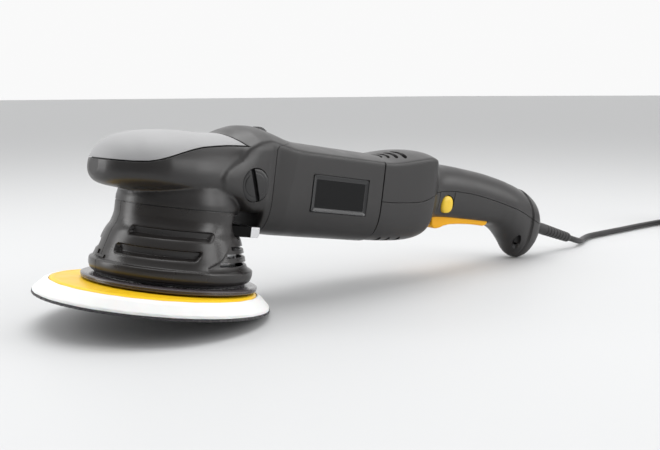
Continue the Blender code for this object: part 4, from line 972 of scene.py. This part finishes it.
# ---- backing plate and balance disc
OFF = (-ECC, 0, 0)
RIM_FROM = 50          # the wobbles only act outside this radius
FIBRES = 1500
disc_line = [(0, 14.6, 0), (12, 14.6, 0), (30, 14.6, 0), (44, 14.7, 2), (49, 15.2, 1), (55.2, 15.3, 0.6),
             (56.8, 14.6, 0.5), (56.8, 13.9, 0.2), (56.2, 13.7, 0.2), (56.2, 13.4, 0.2), (56.6, 13.2, 0.3),
             (56.3, 12.3, 0.4), (55, 12, 0.4), (30, 12, 0), (0, 12, 0)]
disc = boolean(revolve(rounded(disc_line, 0.4, 3, closed=False), 192), [rod_z(12.6, 8, 20, 64, OFF[:2])])
skin_of("balance_disc", disc)

carrier_line = [(15, 11.6, 0.5), (40, 11.35, 1), (54, 11.05, 1), (61.6, 10.75, 0.6), (62, 10.95, 0.3),
                (63.6, 10.85, 0.4), (65.3, 10.1, 0.5), (65.5, 8.9, 0.3), (65.4, 8.3, 0), (4.5, 8.3, 0),
                (4.5, 11.6, 0)]
carrier = revolve(rounded(carrier_line, 0.4, 3), 192, OFF)
skin_of("plate_carrier", carrier)


def foam_wave(a, r, h):
    if r < RIM_FROM:
        return r, h
    return r + 0.10 * sin(17 * a + h) + 0.07 * sin(41 * a + 2 * h), h + (0.05 * sin(23 * a) if h > 2 else 0)


foam_line = [(65.8, 8.2, 0), (65.8, 9.9, 0.3), (66.8, 10, 0.5), (69.5, 8.3, 2.5), (74.5, 3.4, 1.2), (74.8, 1.75, 0.3),
             (10, 1.75, 0), (10, 8.2, 0)]
foam = revolve(rounded(foam_line, 0.4, 5), 256, OFF, wobble=foam_wave)
skin_of("plate_foam", foam)


def ragged(a, r, h):
    if r < RIM_FROM:
        return r, h
    r = r + 0.28 * sin(97 * a) * sin(31 * a + 1) + 0.12 * sin(211 * a)
    return r, h + (0.12 * sin(143 * a) if h > 1 else 0)


hook = revolve([(74.7, 1.45), (74.9, 0.7), (74.6, 0.05), (10, 0.05), (10, 1.45)], 512, OFF, wobble=ragged)
chance = np.random.default_rng(7)
tufts_p, tufts_f = [], []
for index in range(FIBRES):
    a = 2 * pi * (index + chance.uniform(-0.4, 0.4)) / FIBRES
    root = 74.2 + chance.uniform(-0.3, 0.3)
    reach = chance.uniform(0.5, 1.35)
    z0, z1 = chance.uniform(0.35, 1.2), chance.uniform(0.12, 1.5)
    twist = chance.uniform(-0.012, 0.012)
    thick = chance.uniform(0.07, 0.13)
    base = len(tufts_p)
    for r, z, w, da in ((root, z0, thick, 0), (root + reach, z1, thick * 0.45, twist)):
        for k in range(3):
            b = 2 * pi * k / 3
            rr, aa, zz = r, a + da + w * cos(b) / r, max(z + w * sin(b), 0.02)
            tufts_p.append((rr * cos(aa) - ECC, rr * sin(aa), zz))
    tufts_f += [(base, base + 2, base + 1), (base + 3, base + 4, base + 5)]
    tufts_f += [(base + k, base + (k + 1) % 3, base + 3 + (k + 1) % 3, base + 3 + k) for k in range(3)]
skin_of("hook_layer", hook)
piece("hook_fibres", tidy_normals(mesh_of("fibres", tufts_p, tufts_f)), "backing_plate", "hook_fabric", smooth=False)

# ---- trigger, lock button, strain relief
trigger_line = [(219.3, 72.2, 0.5), (218.9, 69, 2), (219.2, 64, 2), (221.6, 61.8, 1.5), (225.4, 61.4, 2),
                (229.2, 62.2, 3), (233, 64, 3), (240, 65.6, 6), (250, 66.5, 6), (262, 67, 6), (272, 67, 6),
                (279, 66.7, 3), (282.4, 67.6, 2), (283.4, 70, 2), (283.6, 75, 2), (282.6, 78, 1.5), (279, 79.5, 2),
                (275.4, 78, 1.5), (273.6, 74.3, 1), (262, 73.5, 1), (241.4, 73.5, 0), (222, 73.5, 1)]
outline = rounded(trigger_line, 1, 4)
HALF_WIDTH = 10.8
# share of the half width, and how far the outline is pulled in there
sides = [(-1, 1.6), (-0.995, 1), (-0.965, 0.45), (-0.9, 0.1), (-0.8, 0)]
sides += [(-share, pull) for share, pull in sides[::-1]]
middle = Vector((252, 70.2))
points = []
for share, pull in sides:
    for x, z in outline:
        low_side = 1 if z < 70 else 0.35
        dz = pull * low_side * (1 if z < middle.y else -1)
        dx = pull * 0.5 * (1 if x < middle.x else -1)
        points.append((x + dx, share * HALF_WIDTH, z + dz))
count = len(outline)
faces = [ring(0, count), ring(len(points) - count, count)[::-1]] + tube(len(sides), count)
paddle = tidy_normals(mesh_of("paddle", points, faces))
paddle = boolean(paddle, [solid_rod((PIVOT[0], 0, PIVOT[1]), (0, 1, 0), -20, 20, 2.1, 32)])
skin_of("trigger", paddle)
spring = piece("trigger_spring_coil", cad_copy("trigger_spring"), "tool_body", "steel", "trigger_spring", angle=60)
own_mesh(spring)

button_profile = [(0, 19.75), (3.2, 19.7), (4.9, 19.35), (6.1, 18.7), (6.6, 17.9), (6.7, 17), (6.7, 13.4),
                  (4.3, 13.4), (4.3, 16.3), (0, 16.3)]
button = revolve(rounded(button_profile, 0.5, 4, closed=False), 96)
for vertex in button.vertices:
    # oval cap, a touch taller than wide
    a = atan2(vertex.co.y, vertex.co.x)
    grow = (abs(cos(a)) ** 2.4 + abs(sin(a)) ** 2.4) ** (-1 / 2.4)
    vertex.co.x *= grow * 0.93
    vertex.co.y *= grow * 1.03
button = moved(button, (BUTTON[0], 0, BUTTON[1]), (pi / 2, "X"))
skin_of("lock_button", button, look="button_yellow")

relief_profile = [(0, RELIEF_LEN), (2.9, RELIEF_LEN), (3.6, RELIEF_LEN - 0.5), (4.3, RELIEF_LEN - 2.2)]
for k in range(8):
    at = RELIEF_LEN - 6 - 4.4 * k
    swell = 4.42 + 0.085 * k
    relief_profile += [(swell, at + 1.5), (swell - 0.42, at + 1.1), (swell - 0.42, at + 0.3), (swell + 0.03, at)]
relief_profile += [(5.05, 5), (5.1, 0), (5.1, -4.6), (0, -4.6)]
relief = moved(revolve(relief_profile, 64), RELIEF_BASE, (pi / 2 + RELIEF_DROP, "Y"))
skin_of("strain_relief", relief, look="cord_rubber", angle=30)

# ---- mains lead: out of the sleeve, along the table, then wound up out of view
CORD_D = 5.5
FLOOR_Z = CORD_D / 2 + 0.05
TIP = REST @ ((RELIEF_BASE + RELIEF_DIR * RELIEF_LEN) * MM) / MM
TIP_DIR = REST.to_3x3() @ RELIEF_DIR
COIL = (487, -25)
R0, R1, R2 = 38.9, 33.3, 27.6      # outer, middle and inner column of turns
LAYER = CORD_D + 0.08
LAYERS = 6
TURNS = 3 * (LAYERS - 1) + 1
STEPS = 30                         # points for each turn
START_TURN = 25


def at_coil(degrees, radius, z):
    a = radians(degrees)
    return COIL[0] + radius * cos(a), COIL[1] + radius * sin(a), z


def smoothed(route, spacing):
    """Rounded line through the points, in evenly spaced steps."""
    points = np.array(route, float)
    ends = np.vstack((2 * points[0] - points[1], points, 2 * points[-1] - points[-2]))
    line = []
    for i in range(1, len(ends) - 2):
        p0, p1, p2, p3 = ends[i - 1:i + 3]
        for k in range(24):
            t = k / 24
            square, cube = 2 * p0 - 5 * p1 + 4 * p2 - p3, 3 * p1 - p0 - 3 * p2 + p3
            line.append(0.5 * (2 * p1 + (p2 - p0) * t + square * t ** 2 + cube * t ** 3))
    line = np.array(line + [points[-1]])
    along = np.concatenate(([0], np.cumsum(np.linalg.norm(np.diff(line, axis=0), axis=1))))
    at = np.linspace(0, along[-1], max(3, int(round(along[-1] / spacing)) + 1))
    return np.stack([np.interp(at, along, line[:, k]) for k in range(3)], 1)


def ease(value):
    return float(step(value, 0, 1))


def wound(turn):
    """Radius and height of the wound lead after a number of turns, with every change inside a third of a turn."""
    whole = int(turn)
    part = turn - whole
    top = LAYERS - 1

    def third(k):
        return ease((part - k / 3) * 3)

    if whole < top:                                   # outer column, rising
        return R0, whole + third(2)
    if whole == top:                                  # over to the middle column at the top
        return R0 + (R1 - R0) * third(1), top
    if whole < 2 * top:                               # middle column, coming down
        return R1, top - (whole - top - 1) - third(0)
    if whole == 2 * top:                              # down to the table, then over to the inner column
        return R1 + (R2 - R1) * third(2), 1 - third(0)
    return R2, whole - 2 * top - 1 + third(1)         # inner column, rising


coil_points = []
for k in range(STEPS * TURNS + 1):
    radius, layer = wound(min(k / STEPS, TURNS - 1e-6))
    coil_points.append(at_coil(START_TURN - 360 * (k / STEPS), radius, FLOOR_Z + LAYER * layer))
PLUG_AT = (COIL[0] + 14, COIL[1] + 22.5, 41.95)
# last lap: up onto the finished coil, out to its middle, and round into the plug
top_z = FLOOR_Z + LAYER * (LAYERS - 1)
finish_path = [at_coil(START_TURN - phi, R2 + 10.6 * ease((phi - 30) / 140), top_z + (LAYER + 0.1) * ease(phi / 110))
               for phi in (9 * k for k in range(1, 21))]
on_table = ((56, 19), (78, 22), (114, 25), (155, 29), (198, 31.6), (222, 30.9))
route = [TIP, TIP + TIP_DIR * 8, (TIP.x + 22, 4, 3.7), (TIP.x + 38, 12, FLOOR_Z)]
route += [(TIP.x + x, y, FLOOR_Z) for x, y in on_table]
for turn_angle in (85, 65, 48, 35):
    route.append(at_coil(turn_angle, R0 + 11 * ((turn_angle - START_TURN) / 60) ** 1.7, FLOOR_Z))
lead = smoothed(route + [coil_points[0]], 8)
# Bezier from the last lap's end into the plug's tail
last = finish_path[-1]
a = radians(START_TURN - 180)
p0, p3 = last[:2], (COIL[0] - 13, COIL[1] + 22.5)
p1 = (p0[0] + sin(a) * 24, p0[1] - cos(a) * 24)
p2 = (p3[0] - 15, p3[1])
bend = []
for k in range(1, 13):
    t = k / 12
    weights = ((1 - t) ** 3, 3 * t * (1 - t) ** 2, 3 * t * t * (1 - t), t ** 3)
    x, y = (sum(w * p[i] for w, p in zip(weights, (p0, p1, p2, p3))) for i in (0, 1))
    bend.append((x, y, last[2] + (PLUG_AT[2] - last[2]) * ease(t * 1.05)))
cord_line = [tuple(float(c) for c in p) for p in lead] + coil_points[1:] + finish_path + bend
wire = bpy.data.curves.new("mains_lead", "CURVE")
wire.dimensions = "3D"
wire.resolution_u = 3
wire.bevel_depth = CORD_D / 2 * MM
wire.bevel_resolution = 4
wire.use_fill_caps = True
spline = wire.splines.new("BEZIER")
spline.bezier_points.add(len(cord_line) - 1)
for knot, point in zip(spline.bezier_points, cord_line):
    knot.co = Vector(point) * MM
    knot.handle_left_type = knot.handle_right_type = "AUTO"
wire.materials.append(LOOKS["cord_rubber"])
cord = linked("mains_lead", wire)
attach(cord, "tool_body")
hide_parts("cord_lead", "cord_coil")

# moulded plug lying on the wound lead: tail with ribs, waisted grip, flat face with two pins
# x, half width, half thickness, squareness
form = np.array([(-29, 3.3, 3.3, 2), (-27.6, 3.9, 3.7, 2), (-13, 4.8, 4.4, 2.2), (-11, 6.6, 5.2, 2.4),
                 (-8.6, 9.8, 6.6, 2.6), (-2, 11.9, 7.3, 2.8), (6, 11, 6.9, 2.8), (14, 15.4, 7.7, 3),
                 (20, 16.8, 7.9, 3.2), (23.4, 16.9, 7.9, 3.2), (24, 16.4, 7.4, 3.2)])
stations = np.unique(np.concatenate((np.linspace(-29, -11, 49), np.linspace(-11, 24, 59))))
points = []
count = 64


def ripple(x, start, pitch):
    return 0.5 + 0.5 * cos(2 * pi * (x - start) / pitch)


for x in stations:
    wide, thick, power = (float(follow(form[:, 0], form[:, k], [x])[0]) for k in (1, 2, 3))
    if -26.5 < x < -12.5:              # ribs of the tail
        groove = 0.45 * ripple(x, -26.5, 2.8) ** 3
        wide, thick = wide - groove, thick - groove
    for j in range(count):
        a = 2 * pi * j / count
        co, si = cos(a), sin(a)
        r = (abs(co / wide) ** power + abs(si / thick) ** power) ** (-1 / power)
        if -3 < x < 12:                # finger grooves of the grip
            r -= 0.35 * ripple(x, -3, 3) * (abs(co) ** 6)
        points.append((x, r * co, r * si))
faces = tube(len(stations), count) + [ring(0, count), ring(len(points) - count, count)]
plug_mesh = tidy_normals(mesh_of("plug", points, faces))
on_coil = Matrix.Translation(Vector(PLUG_AT) * MM)
plug = piece("mains_plug", plug_mesh, "tool_body", "black_plastic", "cord_plug", look="cord_rubber", angle=40,
             place=on_coil)
pin_line = [(0, 22.5), (2.35, 22.5), (2.35, 40.8), (2.2, 41.9), (1.6, 42.7), (0, 42.95)]
for side, hand in SIDES:
    pin = revolve(pin_line, 32, (0, side * 9.5, 0), axis="x")
    piece("plug_pin_" + hand, pin, "tool_body", "steel", look="nickel", place=on_coil)

# ---- floor, world and soft studio light
FLOOR_HALF, FLOOR_TOP = 30, -0.0004
floor_mesh = bpy.data.meshes.new("floor")
floor_mesh.from_pydata([(x * FLOOR_HALF, y * FLOOR_HALF, FLOOR_TOP) for x, y in ((-1, -1), (1, -1), (1, 1), (-1, 1))],
                       [], [(0, 1, 2, 3)])
floor_look = Shader("floor", (0.60, 0.605, 0.61), 0.55, 0)
floor_look.set(Specular_IOR_Level=0.25)
floor_mesh.materials.append(floor_look.mat)
floor = linked("floor", floor_mesh)

world = bpy.data.worlds.new("studio")
bpy.context.scene.world = world
world.use_nodes = True
sky = Wires(world.node_tree)
back = sky.tree.nodes["Background"]
back.inputs["Color"].default_value = (1, 1, 1, 1)
sky_place = sky.node("ShaderNodeTexCoord").outputs["Generated"]


def glow(direction, low, high, a, b):
    """Light from one direction of the studio, falling off smoothly."""
    dot = sky.node("ShaderNodeVectorMath", operation="DOT_PRODUCT")
    sky.feed(dot.inputs[0], sky_place)
    sky.feed(dot.inputs[1], direction)
    return sky.ramp(dot.outputs["Value"], low, high, a, b, "SMOOTHSTEP")


far_side = glow((0.6115, 0.7913, 0), -0.05, 0.65, 0.20, 0.95)
overhead = glow(UPRIGHT, 0.35, 0.90, 0, 0.6)
sky.link(sky.math("ADD", far_side, overhead), back.inputs["Strength"])
bpy.context.scene.view_settings.view_transform = "Standard"


# name, place, point it aims at, width and length in metres, power in watts
for name, spot, aim, size, power in (
        ("key_above", (-0.10, 0.15, 1.25), (0, 0, 0.06), (1.3, 0.8), 9.5),
        ("strip_back_left", (-1.02, 0.63, 0.45), (-0.12, 0, 0.06), (0.35, 0.9), 5),
        ("strip_right", (0.70, -1.15, 0.55), (-0.02, 0, 0.06), (0.45, 0.8), 6),
        ("strip_far_right", (0.85, -0.55, 0.50), (-0.12, 0, 0.06), (0.25, 0.8), 2.5)):
    light = bpy.data.lights.new(name, "AREA")
    light.shape = "RECTANGLE"
    light.size, light.size_y = size
    light.energy = power
    lamp = linked(name, light)
    lamp.location = spot
    lamp.rotation_euler = (Vector(aim) - Vector(spot)).to_track_quat("-Z", "Y").to_euler()
